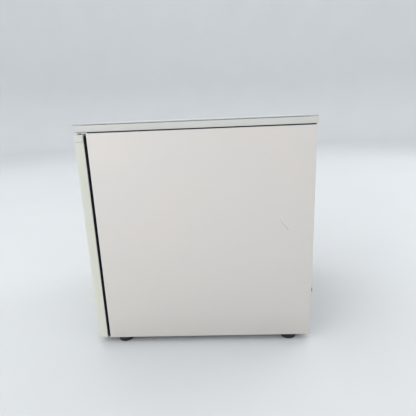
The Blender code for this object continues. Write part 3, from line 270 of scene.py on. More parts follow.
def zinc_steel():
    """Hot-dipped steel: spangled crystals, dull patches and fine scratches."""
    steel = Surface("zinc_steel", (192, 194, 195), 0.42, 0.75)
    tone = steel.node("ShaderNodeRGBToBW", {"Color": steel.cells(130.0)["Color"]}).outputs["Val"]
    steel.tint(steel.ranged(tone, 0.2, 0.8, 0.0, 0.5), srgb((172, 175, 178)))
    steel.patches((150, 147, 140), (22.0, 7.0, 0.7), 0.55, 0.8, 0.25)
    steel.feed(steel.shader, "Roughness", steel.ranged(tone, 0.2, 0.8, 0.34, 0.52))
    steel.grain((40.0, 4.0, 0.6, (1.0, 18.0, 1.0)), 0.00008, 0.3)
    steel.edge_wear(0.0005, (206, 206, 204), 0.6)


def foil_board():
    """Thin painted sheet over the foam, a little uneven where the foam pushed on it."""
    sheet = Surface("foil_board", (204, 205, 204), 0.42, 0.15)
    sheet.patches((184, 182, 176), (12.0, 7.0, 0.65), 0.4, 0.8, 0.35)
    sheet.rubbed((30.0, 6.0), 0.1)
    sheet.grain((14.0, 3.0), 0.0015, 0.3)
    sheet.grain((300.0, 3.0), 0.00005, 0.4)


def aluminium():
    """Rolled aluminium of the freezer box, clouded by old frost."""
    metal = Surface("aluminium", (205, 208, 210), 0.34, 0.9)
    metal.patches((178, 182, 186), (26.0, 8.0, 0.7), 0.45, 0.75, 0.5)
    metal.rubbed((50.0, 6.0, 0.6), 0.12)
    metal.grain((120.0, 3.0, 0.6, (20.0, 1.0, 20.0)), 0.00005, 0.35)


def copper():
    """Drawn copper, browned, with green tarnish in places."""
    metal = Surface("copper", (190, 120, 84), 0.32, 1.0)
    metal.patches((128, 76, 54), (38.0, 7.0, 0.7), 0.42, 0.72, 0.8)
    metal.patches((96, 112, 92), (95.0, 6.0, 0.7), 0.62, 0.8, 0.5)
    metal.rubbed((70.0, 6.0), 0.14)
    metal.grain((240.0, 4.0), 0.00005, 0.4)


def coated_wire():
    wire = Surface("coated_wire", (236, 237, 234), 0.24, Coat_Weight=0.3)
    wire.patches((214, 212, 204), (60.0, 6.0), 0.5, 0.8, 0.4)
    wire.rubbed((90.0, 5.0), 0.08)
    wire.grain((260.0, 3.0), 0.00008, 0.4)


def dial_ink():
    ink = Surface("dial_ink", (70, 72, 76), 0.5)
    ink.patches((120, 122, 124), (600.0, 4.0), 0.5, 0.75, 0.5)
    ink.rubbed((300.0,), 0.06)


def floor_paint():
    ground = Surface("floor_paint", (212, 215, 217), 0.55)
    ground.patches((206, 209, 211), (2.0, 5.0), 0.4, 0.75, 0.4)
    ground.grain((90.0, 4.0), 0.0003, 0.15)


for make in (
    enamels, plastics, worktop_laminate, clear_plastic, foam, gasket_rubber, black_rubber, black_enamel,
    zinc_steel, foil_board, aluminium, copper, coated_wire, dial_ink, floor_paint,
):
    make()


# Mesh tools


def add(name, data):
    made = bpy.data.objects.new(name, data)
    bpy.context.scene.collection.objects.link(made)
    return made


def fill(mesh, bm, turn_out=True):
    """Writes a bmesh to a mesh, with its faces turned outwards."""
    if turn_out:
        bmesh.ops.recalc_face_normals(bm, faces=bm.faces)
    bm.to_mesh(mesh)
    bm.free()


def from_bmesh(name, bm, turn_out=True):
    mesh = bpy.data.meshes.new(name)
    fill(mesh, bm, turn_out)
    return add(name, mesh)


def freeze(made):
    """Applies an object's modifiers or curve settings to a plain mesh in world coordinates."""
    bpy.context.view_layer.update()
    evaluated = made.evaluated_get(bpy.context.evaluated_depsgraph_get())
    mesh = bpy.data.meshes.new_from_object(evaluated)
    mesh.transform(made.matrix_world)
    name = made.name
    bpy.data.objects.remove(made)
    return add(name, mesh)


def weld(made):
    bm = bmesh.new()
    bm.from_mesh(made.data)
    bmesh.ops.remove_doubles(bm, verts=bm.verts, dist=SAME)
    fill(made.data, bm)
    return made


def rounded_box(name, low, high, radius=0.0, segments=4):
    low, high = Vector(low), Vector(high)
    bm = bmesh.new()
    bmesh.ops.create_cube(bm, size=1.0)
    bmesh.ops.scale(bm, vec=high - low, verts=bm.verts)
    bmesh.ops.translate(bm, vec=(low + high) / 2, verts=bm.verts)
    if radius:
        round_off(bm, list(bm.edges), radius, segments)
    return from_bmesh(name, bm)


def tool(low, high):
    """Plain box that only cuts."""
    return rounded_box("tool", low, high)


def round_off(bm, edges, radius, segments):
    bmesh.ops.bevel(bm, geom=edges, offset=radius, segments=segments, profile=0.5, affect="EDGES")


def extruded(outline, shift):
    """Closed outline of 3D points, extruded by a shift."""
    bm = bmesh.new()
    face = bm.faces.new([bm.verts.new(place) for place in outline])
    moved = bmesh.ops.extrude_face_region(bm, geom=[face])["geom"]
    bmesh.ops.translate(bm, vec=shift, verts=[v for v in moved if isinstance(v, bmesh.types.BMVert)])
    return bm


def around(count):
    """Cosine and sine of the angles that share out a full turn."""
    return [(math.cos(math.tau * i / count), math.sin(math.tau * i / count)) for i in range(count)]


def lathe(name, profile, centre, axis="Z", steps=48, stretch=1.0):
    """Profile of (radius, height) points turned about an axis, capped where it meets the axis."""
    bm = bmesh.new()
    rings = []
    for radius, height in profile:
        ring = [(radius * c, radius * stretch * s, height) for c, s in around(steps)]
        rings.append([bm.verts.new(place) for place in (ring if radius else ring[:1])])
    for upper, lower in zip(rings, rings[1:]):
        for i in range(steps):
            j = (i + 1) % steps
            corners = [ring[k % len(ring)] for ring, k in ((upper, i), (upper, j), (lower, j), (lower, i))]
            bm.faces.new(list(dict.fromkeys(corners)))
    if profile[0] != profile[-1]:
        for end in (rings[0], rings[-1]):
            if len(end) > 2:
                bm.faces.new(end)
    bmesh.ops.remove_doubles(bm, verts=bm.verts, dist=1e-7)
    angle, about = {"Z": (0.0, "Z"), "Y": (-math.pi / 2, "X"), "X": (math.pi / 2, "Y")}[axis]
    lie = Matrix.Translation(centre) @ Matrix.Rotation(angle, 4, about)
    bmesh.ops.transform(bm, matrix=lie, verts=bm.verts)
    return from_bmesh(name, bm)


def plug(radius, low, high, centre, axis="Z", steps=32):
    """Plain cylinder that only cuts, between two places along its axis."""
    return lathe("tool", [(0, low), (radius, low), (radius, high), (0, high)], centre, axis, steps)


def arc(centre, radius, start, end, steps):
    """Points on an arc in a plane, angles in degrees."""
    angles = [math.radians(start + (end - start) * k / steps) for k in range(steps + 1)]
    return [(centre[0] + radius * math.cos(a), centre[1] + radius * math.sin(a)) for a in angles]


def bent(points, radius, steps=6):
    """Polyline with each inner corner turned into an arc."""
    points = [Vector(p) for p in points]
    path = [points[0]]
    for before, corner, after in zip(points, points[1:], points[2:]):
        into = (before - corner).normalized()
        out = (after - corner).normalized()
        half = into.angle(out) / 2
        centre = corner + (into + out).normalized() * (radius / math.sin(half))
        start = corner + into * (radius / math.tan(half)) - centre
        end = corner + out * (radius / math.tan(half)) - centre
        sweep = start.angle(end)
        for k in range(steps + 1):
            t = k / steps
            spread = math.sin((1 - t) * sweep) * start + math.sin(t * sweep) * end
            path.append(centre + spread / math.sin(sweep))
    path.append(points[-1])
    return path


def wires(name, paths, radius, resolution=3, cyclic=False):
    """Round wires along lists of points, as one mesh."""
    curve = bpy.data.curves.new(name, "CURVE")
    curve.dimensions = "3D"
    curve.bevel_depth = radius
    curve.bevel_resolution = resolution
    curve.use_fill_caps = True
    for path in paths:
        spline = curve.splines.new("POLY")
        spline.points.add(len(path) - 1)
        for point, place in zip(spline.points, path):
            point.co = (*place, 1.0)
        spline.use_cyclic_u = cyclic
    return weld(freeze(add(name, curve)))


def boolean(made, tools, operation="DIFFERENCE"):
    for other in tools:
        step = made.modifiers.new("step", "BOOLEAN")
        step.operation = operation
        step.object = other
    made = freeze(made)
    for other in tools:
        bpy.data.objects.remove(other)
    return made


def joined(name, parts):
    """Several meshes as one object."""
    bm = bmesh.new()
    for part in parts:
        bm.from_mesh(part.data)
        bpy.data.objects.remove(part)
    return from_bmesh(name, bm, turn_out=False)


def ripple(made, centre, plane, count, depth, power, picks):
    """Draws in the rim of a turned shape in a number of flutes."""
    u, v = plane
    for vertex in made.data.vertices:
        away = Vector((vertex.co[u] - centre[u], vertex.co[v] - centre[v]))
        if picks(away.length, vertex.co):
            wave = 0.5 - 0.5 * math.cos(count * math.atan2(away.y, away.x))
            shrink = 1 - depth * wave**power
            vertex.co[u] = centre[u] + away.x * shrink
            vertex.co[v] = centre[v] + away.y * shrink


def dress(made, material):
    made.data.materials.clear()
    made.data.materials.append(MATERIALS[material])
    made.data.shade_smooth()


def piece(made, material, *replaces, body="cabinet", smooth=35.0):
    """Gives a finished mesh its material and shading and puts it on a body."""
    dress(made, material)
    made.data.set_sharp_from_angle(angle=math.radians(smooth))
    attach(made, body)
    if replaces:
        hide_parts(*replaces)


# Floor, backdrop, light and camera

WALL_RADIUS, WALL_TOP, WALL_BEND = 7.0, 4.6, 1.2
LIGHT_TARGET = Vector((0.0, 0.0, 0.25))
LIGHT_SPREAD = math.radians(140)
LIGHTS = {  # place, width and height, watts, colour
    "key": ((2.9, -3.1, 1.7), (2.8, 2.4), 28.0, (1.0, 0.985, 0.97)),
    "fill": ((3.2, 2.9, 1.4), (2.6, 2.2), 3.0, (1.0, 1.0, 1.0)),
    "left": ((-2.8, -2.8, 2.2), (2.4, 2.4), 5.0, (1.0, 1.0, 1.0)),
    "back": ((-2.2, 3.2, 2.2), (2.4, 2.4), 17.0, (1.0, 1.0, 1.0)),
}
SKY = {"Color": (0.975, 0.985, 1.0, 1.0), "Strength": 1.27}
CAMERA_OUT = 0.6999  # from the side panel
CAMERA_BACK = 0.2637  # behind the case's front edge
CAMERA_UP = 0.4786  # above the case's lower edge
CAMERA_TURNS = ((2.35, "Z"), (14.43, "X"), (-2.31, "Y"))  # roll, pitch and yaw in degrees
CAMERA_LENS = 30.46


def backdrop():
    """Round pale floor that curves up into a pale wall all round."""
    steps = 96
    profile = arc((WALL_RADIUS - WALL_BEND, WALL_BEND), WALL_BEND, -90, 0, 10) + [(WALL_RADIUS, WALL_TOP)]
    bm = bmesh.new()
    centre = bm.verts.new((0, 0, 0))
    rings = [[bm.verts.new((r * c, r * s, z)) for c, s in around(steps)] for r, z in profile]
    for i in range(steps):
        j = (i + 1) % steps
        bm.faces.new((centre, rings[0][i], rings[0][j]))
        for low, high in zip(rings, rings[1:]):
            bm.faces.new((low[i], high[i], high[j], low[j]))
    floor = from_bmesh("floor", bm, turn_out=False)
    dress(floor, "floor_paint")


def lights():
    for name, (place, size, watts, colour) in LIGHTS.items():
        light = bpy.data.lights.new(name, "AREA")
        light.shape = "RECTANGLE"
        light.size, light.size_y = size
        light.energy, light.color, light.spread = watts, colour, LIGHT_SPREAD
        made = add(name, light)
        made.location = place
        made.rotation_euler = (LIGHT_TARGET - Vector(place)).to_track_quat("-Z", "Y").to_euler()
    world = bpy.data.worlds.new("studio")
    world.use_nodes = True
    for key, value in SKY.items():
        world.node_tree.nodes["Background"].inputs[key].default_value = value
    bpy.context.scene.world = world
    bpy.context.scene.view_settings.view_transform = "Standard"


def camera():
    data = bpy.data.cameras.new("camera")
    data.lens = CAMERA_LENS
    data.sensor_width = 36.0
    made = add("camera", data)
    roll, pitch, yaw = (Matrix.Rotation(math.radians(angle), 3, axis) for angle, axis in CAMERA_TURNS)
    facing_side = Matrix(((0, 1, 0), (0, 0, 1), (1, 0, 0)))
    turn = roll @ pitch @ yaw @ facing_side
    place = Vector((CASE_HIGH.x + CAMERA_OUT, CASE_LOW.y + CAMERA_BACK, CASE_LOW.z + CAMERA_UP))
    made.matrix_world = Matrix.Translation(place) @ turn.transposed().to_4x4()
    bpy.context.scene.camera = made


# CAD nodes that stay: their finish, and how far their edges are rounded

KEPT = {
    "outer_case": ("case_enamel", 0.00012),
    "foam_insulation": ("foam", 0.0),
    "back_panel": ("foil_board", 0.0002),
    "compressor_bay": ("foil_board", 0.0002),
    "base_panel": ("zinc_steel", 0.0002),
    "compressor_base": ("zinc_steel", 0.0002),
    "upper_hinge": ("zinc_steel", 0.0003),
    "lower_hinge": ("zinc_steel", 0.0003),
    "condenser_bar_lower": ("black_enamel", 0.0003),
    "condenser_bar_upper": ("black_enamel", 0.0003),
    "freezer_surround": ("white_plastic", 0.0004),
}


def keep_nodes():
    for node, (material, width) in KEPT.items():
        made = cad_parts[node]
        dress(made, material)
        made.modifiers.new("seams", "WELD").merge_threshold = SAME
        if width:
            edges = made.modifiers.new("edges", "BEVEL")
            edges.width = width
            edges.segments = 2
            edges.limit_method = "ANGLE"
            edges.angle_limit = math.radians(50)
            edges.harden_normals = True




# Lofts between rounded rectangles

CLEAR = 0.0003  # left around a neighbouring shape
PLANES = {
    "XY": lambda u, v, w: (u, v, w),
    "XZ": lambda u, v, w: (u, w, v),
    "YZ": lambda u, v, w: (w, u, v),
}


class Rect:
    """Rectangle with rounded corners in a plane, at a place w along the plane's normal."""

    def __init__(self, u0, v0, u1, v1, corner, w=0.0):
        self.sides, self.w = (u0, v0, u1, v1, corner), w

    def at(self, inset, w):
        """The same rectangle moved inwards all round, at another place."""
        u0, v0, u1, v1, corner = self.sides
        return Rect(u0 + inset, v0 + inset, u1 - inset, v1 - inset, max(corner - inset, 0.0003), w)

    def along(self, profile):
        return [self.at(inset, w) for inset, w in profile]

    def towards(self, other, share, w):
        """Rectangle part of the way to another one."""
        return Rect(*(a + (b - a) * share for a, b in zip(self.sides, other.sides)), w)

    def points(self, steps):
        u0, v0, u1, v1, r = self.sides
        corners = ((u1 - r, v0 + r, -90), (u1 - r, v1 - r, 0), (u0 + r, v1 - r, 90), (u0 + r, v0 + r, 180))
        return [point for u, v, start in corners for point in arc((u, v), r, start, start + 90, steps)]


def loft(name, rects, plane, steps=6, closed=False):
    """Skin through rounded rectangles. Either a closed ring, or capped at its two ends."""
    place = PLANES[plane]
    bm = bmesh.new()
    loops = [[bm.verts.new(place(u, v, rect.w)) for u, v in rect.points(steps)] for rect in rects]
    pairs = list(zip(loops, loops[1:]))
    if closed:
        pairs.append((loops[-1], loops[0]))
    for here, there in pairs:
        for i in range(len(here)):
            j = (i + 1) % len(here)
            bm.faces.new((here[i], here[j], there[j], there[i]))
    if not closed:
        bm.faces.new(loops[0])
        bm.faces.new(loops[-1])
    return from_bmesh(name, bm)


def quarter(inset, w, radius, towards, start, end, steps=4):
    """Rounded edge of a loft, as (inset, w) pairs about a centre. towards is the way w runs."""
    return [(inset + u, w + towards * v) for u, v in arc((0, 0), radius, start, end, steps)]


def basin(name, rect, floor, mouth, plane, wall, bend, bead=0.0, steps=6):
    """Open box of one wall thickness with rounded corners, from its floor to its mouth."""
    way = 1 if mouth > floor else -1
    inner_bend = max(bend - wall, 0.0005)
    half = wall / 2
    profile = quarter(bend, floor + way * bend, bend, way, 270, 180)
    if bead:
        low = mouth - way * 2.4 * bead
        profile += [(0.0, low - way * bead), (-bead, low), (-bead, mouth - way * bead * 0.6)]
        profile += [(-bead * 0.4, mouth), (wall * 0.8, mouth), (wall, mouth - way * 0.0006)]
    else:
        profile += quarter(half, mouth - way * half, half, way, 180, 0)
    profile += quarter(wall + inner_bend, floor + way * (wall + inner_bend), inner_bend, way, 180, 270)
    return loft(name, rect.along(profile), plane, steps)


def slab(name, rect, low, high, plane, bend=(0.0, 0.0), steps=6):
    """Solid between two places with its two rims rounded."""
    profile = quarter(bend[0], low + bend[0], bend[0], 1, 270, 180) if bend[0] else [(0.0, low)]
    profile += quarter(bend[1], high - bend[1], bend[1], 1, 180, 90) if bend[1] else [(0.0, high)]
    return loft(name, rect.along(profile), plane, steps)


def upright(low, high):
    """Middle of a box in plan, at floor level."""
    return Vector(((low.x + high.x) / 2, (low.y + high.y) / 2, 0.0))


# Worktop


def worktop():
    low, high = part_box("worktop_frame")
    board_low, board_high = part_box("worktop_board")
    gap, width = 0.0023, 0.0145  # above the case, and of the band
    band_low = CASE_HIGH.z + gap
    profile = [(width, band_low + 0.0006), (0.0016, band_low)]
    profile += quarter(0.001, band_low + 0.001, 0.001, 1, 250, 180)
    profile += [(0.0, high.z - 0.0007), (0.0004, high.z - 0.0001), (0.0009, high.z), (width, high.z)]
    rects = Rect(low.x, low.y, high.x, high.y, 0.0022).along(profile)
    band = loft("worktop_edge", rects, "XY", 5, closed=True)

    # The strip under the band stands for the frame's rib and is given the dark gasket rubber as painted shade,
    # which darkens the gap line between the worktop and the case.
    inset, shade_rib_width, shade_rib_top = 0.002, 0.003, band_low + 0.0012
    strip = Rect(low.x + inset, CASE_LOW.y + inset, high.x - inset, CASE_HIGH.y - 0.0012, 0.002)
    rows = strip.along([(0.0, low.z), (0.0, shade_rib_top), (shade_rib_width, shade_rib_top), (shade_rib_width, low.z)])
    seal = loft("worktop_painted_shade_rib", rows, "XY", 5, closed=True)

    hinge_low, hinge_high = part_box("upper_hinge")
    near = Vector((hinge_low.x - 0.004, board_low.y + 0.002, CASE_HIGH.z - 0.005))
    far = Vector((hinge_high.x + 0.002, hinge_high.y + 0.006, hinge_high.z + 0.0034))
    beside_plate = Vector((hinge_high.x + CLEAR, far.y, far.z))
    piece(boolean(band, [tool(near, far)]), "worktop_plastic", "worktop_frame")
    # dark rib: painted shade in the gap under the worktop
    piece(boolean(seal, [tool(near, beside_plate)]), "gasket_rubber")

    sheet_low = high.z + 0.0006
    edge = width + CLEAR
    core = Rect(board_low.x + edge, board_low.y + edge, board_high.x - edge, board_high.y - edge, 0.001)
    sheet = [(0.001, sheet_low), (0.0002, sheet_low + 0.0003), (0.0, sheet_low + 0.0008)]
    sheet += quarter(0.0009, board_high.z - 0.0009, 0.0009, 1, 180, 90)
    rects = core.along([(0.0, band_low + 0.001), (0.0, sheet_low)])
    rects += Rect(board_low.x, board_low.y, board_high.x, board_high.y, 0.0024).along(sheet)
    board = boolean(loft("worktop_sheet", rects, "XY", 6), [tool(near, far)])
    piece(board, "worktop_laminate", "worktop_board")


# Inside of the cabinet


def liner():
    """Food compartment: rounded walls over the compressor hump, and a front flange."""
    low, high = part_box("inner_liner")
    half, wall = 0.185, 0.0015
    floor, ceiling, rear = 0.054, 0.432, 0.176
    hump, hump_top = 0.048, 0.198
    front = low.y + wall
    outline = [(front, floor), (hump, floor), (hump, hump_top)]
    outline += [(rear, hump_top), (rear, ceiling), (front, ceiling)]
    bm = extruded([(-half, y, z) for y, z in outline], (2 * half, 0, 0))

    def lies(item, y, z=None):
        """Whether an edge or face has all its corners at a y, and at a z if one is given."""
        return all(abs(v.co.y - y) < SAME and (z is None or abs(v.co.z - z) < SAME) for v in item.verts)

    # the hump's front edge stays sharper, so that it hides the foam's corner
    round_off(bm, [e for e in bm.edges if lies(e, hump, hump_top)], 0.003, 5)
    sharp = [e for e in bm.edges if not lies(e, front) and e.calc_face_angle(0.0) > 1.0]
    round_off(bm, sharp, 0.012, 5)
    bmesh.ops.delete(bm, geom=[f for f in bm.faces if lies(f, front)], context="FACES_ONLY")

    # flange: as many points on its outer edge as on the mouth, both in order of angle
    rim = {v for e in bm.edges if e.is_boundary for v in e.verts}
    flange = Rect(low.x, low.z, high.x, high.z, 0.0037).at(-0.0003, front)
    outer = [bm.verts.new((x, front, z)) for x, z in flange.points(5)]
    middle = (floor + ceiling) / 2
    rim, outer = (sorted(ring, key=lambda v: math.atan2(v.co.z - middle, v.co.x)) for ring in (rim, outer))
    for i in range(len(rim)):
        bm.faces.new((rim[i - 1], rim[i], outer[i], outer[i - 1]))
    bmesh.ops.recalc_face_normals(bm, faces=bm.faces)

    def corner(edge):
        faces = edge.link_faces
        return len(faces) == 2 and abs(faces[0].normal.dot(faces[1].normal)) < 0.5

    round_off(bm, [e for e in bm.edges if lies(e, front) and corner(e)], 0.0025, 4)
    shell = from_bmesh("compartment", bm)
    grow = shell.modifiers.new("wall", "SOLIDIFY")
    grow.thickness = wall
    grow.offset = -1.0
    shell = freeze(shell)
    forwards = low.y - min(v.co.y for v in shell.data.vertices)
    if forwards > 1e-5:
        shell.data.transform(Matrix.Translation((0, forwards, 0)))
    ledges = []
    for x in (-0.18175, 0.18175):
        near, far = (x - 0.00385, -0.11, hump_top - 0.005), (x + 0.00385, hump + 0.0007, hump_top)
        ledges.append(rounded_box("ledge", near, far, 0.0012, 3))
    piece(boolean(shell, ledges, "UNION"), "liner_plastic", "inner_liner")
    reach = 0.15
    gutter = [
        rounded_box("gutter", (-reach, rear - 0.0085, 0.232), (reach, rear - 0.0004, 0.2345), 0.001, 3),
        rounded_box("gutter_lip", (-reach, rear - 0.009, 0.2335), (reach, rear - 0.007, 0.2395), 0.0008, 3),
    ]
    piece(joined("drain_gutter", gutter), "liner_plastic")


def freezer():
    low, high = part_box("evaporator")
    wall = 0.0015
    outline = Rect(low.x, low.z, high.x, high.z, 0.007)
    shell = basin("freezer_box", outline, high.y, low.y, "XZ", wall, 0.006, steps=8)
    piece(shell, "aluminium", "evaporator")
    # roll-bond channels, raised on the inner faces of the floor, the ceiling and the back
    margin, pitch, passes = 0.022, 0.031, 7
    lines = []
    for z in (low.z + wall, high.z - wall):
        corners = []
        for i in range(passes):
            ends = (low.x + margin, high.x - margin)[:: -1 if i % 2 else 1]
            corners += [(x, high.y - margin - i * pitch, z) for x in ends]
        lines.append(bent(corners, 0.0125, 8))
    for x in (low.x + 0.04, high.x - 0.04):
        lines.append([(x, high.y - wall, low.z + 0.014), (x, high.y - wall, high.z - 0.014)])
    piece(wires("freezer_channels", lines, 0.0022, 3), "aluminium")


def freezer_flap():
    """Clear flap with a raised rim on both faces, a pull and a pin at each end."""
    low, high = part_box("freezer_flap")
    left, right = low.x + 0.0037, high.x - 0.0037
    axis_y, axis_z, pin_r = -0.09, 0.4245, 0.0019
    front, back, bend = axis_y - 0.003, axis_y + 0.003, 0.0013
    profile = [(0.012, back - 0.0022), (0.011, back - 0.0022), (0.0098, back)]
    profile += quarter(bend, back - bend, bend, 1, 90, 180) + quarter(bend, front + bend, bend, 1, 180, 270)
    profile += [(0.0095, front), (0.0105, front + 0.0012), (0.012, front + 0.0012)]
    panel = loft("flap_panel", Rect(left, low.z, right, high.z, 0.0045).along(profile), "XZ", 6)
    middle, half = (left + right) / 2, 0.035
    pull_near = (middle - half, low.y, low.z + 0.003)
    parts = [rounded_box("pull", pull_near, (middle + half, front + 0.0016, low.z + 0.008), 0.0012, 3)]
    ease = pin_r * 0.08
    for start, end in ((low.x + 0.0002, left + 0.004), (right - 0.004, high.x - 0.0002)):
        length = end - start
        profile = [(0, 0), (pin_r - ease, 0), (pin_r, ease)]
        profile += [(pin_r, length - ease), (pin_r - ease, length), (0, length)]
        parts.append(lathe("pin", profile, (start, axis_y, axis_z), "X", 32))
    piece(boolean(panel, parts, "UNION"), "clear_plastic", "freezer_flap", body="freezer_flap")


def drip_tray():
    low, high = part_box("drip_tray")
    plate_back, inset = low.y + 0.007, 0.0028
    tray = Rect(low.x + inset, plate_back - 0.001, high.x - inset, high.y, 0.006)
    body = basin("tray", tray, low.z + inset, high.z - 0.0021, "XY", 0.0018, 0.0045, steps=8)
    front = slab("plate", Rect(low.x, low.z, high.x, high.z, 0.004), low.y, plate_back, "XZ", (0.0018, 0.0008))
    middle, half = (low.x + high.x) / 2, 0.045
    dip = Rect(middle - half, low.z - 0.006, middle + half, low.z + 0.0085, 0.006)
    front = boolean(front, [slab("scoop", dip, low.y - 0.002, low.y + 0.0035, "XZ")])
    piece(boolean(body, [front], "UNION"), "clear_plastic", "drip_tray", body="drip_tray")


def shelf():
    low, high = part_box("wire_shelf")
    frame_r, wire_r, count, margin = 0.0015, 0.00105, 23, 0.012
    left, right, front, back = low.x + frame_r, high.x - frame_r, low.y + frame_r, high.y - frame_r
    outline = [(x, y, high.z - frame_r) for x, y in Rect(left, front, right, back, 0.009).points(6)]
    border = wires("border", [outline], frame_r, 3, cyclic=True)
    xs = [low.x + margin + (high.x - low.x - 2 * margin) * i / (count - 1) for i in range(count)]
    lines = [[(x, y, high.z - wire_r) for y in (front, back)] for x in xs]
    lines += [[(x, y, low.z + wire_r) for x in (left, right)] for y in (low.y + 0.07, 0.02, high.y - 0.07)]
    shown = joined("shelf_wires", [border, wires("grid", lines, wire_r, 2)])
    piece(shown, "coated_wire", "wire_shelf", body="wire_shelf")


def thermostat():
    """Housing with vents at its side and below, the dial's numbers, the knob and the sensor's tube."""
    low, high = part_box("thermostat_housing")
    knob_low, knob_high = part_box("thermostat_knob")
    knob = Vector(((knob_low.x + knob_high.x) / 2, low.y, (knob_low.z + knob_high.z) / 2))
    outline = Rect(low.x, low.y, high.x, high.y, 0.0045)
    body = basin("control_housing", outline, low.z, high.z, "XY", 0.002, 0.0035)
    slot, pitch, shaft_r = 0.0035, 0.009, 0.0032
    cuts = []
    for i in range(5):
        y = low.y + 0.042 + pitch * i
        cuts.append(tool((low.x - 0.003, y, low.z + 0.016), (low.x + 0.004, y + slot, low.z + 0.048)))
    for i in range(8):
        y = low.y + 0.02 + pitch * i
        cuts.append(tool((low.x + 0.012, y, low.z - 0.003), (high.x - 0.012, y + slot, low.z + 0.004)))
    cuts.append(plug(shaft_r + 0.0001, -0.006, 0.006, knob, "Y"))
    piece(boolean(body, cuts), "white_plastic", "thermostat_housing")

    numbers = []
    dial_r, first, step = 0.0195, 225, 38.5
    for digit in range(8):
        angle = math.radians(first - step * digit)
        font = bpy.data.curves.new("digit", "FONT")
        font.body = str(digit)
        font.size = 0.0055
        font.extrude = 0.00012
        font.align_x = font.align_y = "CENTER"
        mark = add("digit", font)
        place = knob + Vector((dial_r * math.cos(angle), 0.00005, dial_r * math.sin(angle)))
        mark.matrix_world = Matrix.Translation(place) @ Matrix.Rotation(math.pi / 2, 4, "X")
        numbers.append(weld(freeze(mark)))
    piece(joined("dial_numbers", numbers), "dial_ink")

    radius, face = (knob_high.x - knob_low.x) / 2, -0.0132
    profile = [(0, face + 0.0002), (radius - 0.0042, face), (radius - 0.003, face + 0.0006)]
    profile += [(radius - 0.002, face + 0.002), (radius - 0.0008, -0.004), (radius, -0.0028)]
    profile += [(radius, -0.001), (radius - 0.0004, -0.0006), (shaft_r, -0.0006)]
    profile += [(shaft_r, 0.0115), (0, 0.012)]
    shape = lathe("knob", profile, knob, "Y", 144)
    ripple(shape, knob, (0, 2), 24, 0.035, 2, lambda r, co: r > radius - 0.0045 and co.y < low.y - 0.0035)
    bar = Rect(knob.x - 0.0021, knob_low.z + 0.0027, knob.x + 0.0021, knob_high.z - 0.0027, 0.0018)
    bar = slab("bar", bar, knob_low.y, low.y + face + 0.002, "XZ", (0.001, 0.0))
    piece(boolean(shape, [bar], "UNION"), "white_plastic", "thermostat_knob", body="thermostat_knob")
    line = Rect(knob.x - 0.0006, knob_high.z - 0.009, knob.x + 0.0006, knob_high.z - 0.004, 0.0005)
    pointer = slab("knob_pointer", line, knob_low.y - 0.00002, knob_low.y + 0.0003, "XZ")
    piece(pointer, "dial_ink", body="thermostat_knob")

    low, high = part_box("sensor_tube")
    r = 0.001
    x, y, z = low.x + r, low.y + r, high.z - r
    probe = bent([(high.x, y, z), (x, y, z), (x, high.y, z)], 0.004)
    piece(wires("sensor_probe", [probe], r, 3), "copper", "sensor_tube")


# Cooling circuit at the back

COIL_LOW, COIL_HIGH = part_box("condenser_tube")
COIL_R, COIL_Y = 0.0024, (COIL_LOW.y + COIL_HIGH.y) / 2
COIL_LEFT, COIL_RIGHT = COIL_LOW.x + COIL_R, COIL_HIGH.x - COIL_R
DRIER_LOW, DRIER_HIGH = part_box("filter_drier")
DRIER_X = (DRIER_LOW.x + DRIER_HIGH.x) / 2
PORT_Y = 0.155  # of the tubes that leave the compressor
MOUNTS = ("front_left", "front_right", "rear_left", "rear_right")


def ring(inner, outer, low, high):
    """Profile of a plain ring."""
    return [(inner, low), (outer, low), (outer, high), (inner, high), (inner, low)]


def compressor():
    """Shell on a pressed plate, with its weld seam and the pinched tube it was filled through."""
    low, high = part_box("compressor")
    centre = upright(low, high)
    plate_top = low.z + 0.0025
    rx, ry = 0.072, 0.056
    seam, dome, dome_r = 0.095, 0.024, 0.975  # radii here are shares of the shell's
    angles = [math.radians(angle) for angle in range(12, 91, 6)]
    profile = [(0, high.z)]
    profile += [(dome_r * math.sin(a) ** 0.8, high.z - dome + dome * math.cos(a)) for a in angles]
    profile += [(dome_r, seam + 0.0045), (0.985, seam + 0.0035), (1.0, seam + 0.003), (1.0, seam - 0.0024)]
    profile += [(0.985, seam - 0.003), (0.957, seam - 0.0038), (0.955, 0.06), (0.945, 0.052)]
    profile += [(0.91, 0.045), (0.85, 0.0395), (0.74, 0.0365), (0.6, 0.035), (0, 0.035)]
    shell = lathe("shell", [(share * rx, z) for share, z in profile], centre, "Z", 96, stretch=ry / rx)
    plate = slab("plate", Rect(low.x, low.y, high.x, high.y, 0.01), low.z, plate_top, "XY", (0.0004, 0.0004))
    places = [upright(*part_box(f"compressor_grommet_{name}")) for name in MOUNTS]
    plate = boolean(plate, [plug(0.0049, low.z - 0.005, 0.045, at) for at in places])
    ribs = []
    for y in (low.y + 0.026, high.y - 0.026):
        near = (low.x + 0.004, y - 0.002, plate_top - 0.0005)
        ribs.append(rounded_box("rib", near, (high.x - 0.004, y + 0.002, plate_top + 0.0035), 0.0012, 2))
    piece(joined("compressor_shell", [shell, plate, *ribs]), "black_enamel", "compressor")
    bead = [centre + Vector((rx * c, ry * s, seam + 0.0032)) for c, s in around(96)]
    piece(wires("weld_seam", [bead], 0.0008, 2, cyclic=True), "black_enamel")

    x, y = centre.x + 0.03, centre.y + 0.064
    tube = wires("tube", [bent([(x, y - 0.02, 0.075), (x, y, 0.075), (x, y, 0.108)], 0.008)], 0.003, 3)
    end = rounded_box("end", (x - 0.0038, y - 0.0009, 0.106), (x + 0.0038, y + 0.0009, 0.118), 0.0006, 2)
    piece(joined("process_tube", [tube, end]), "copper")


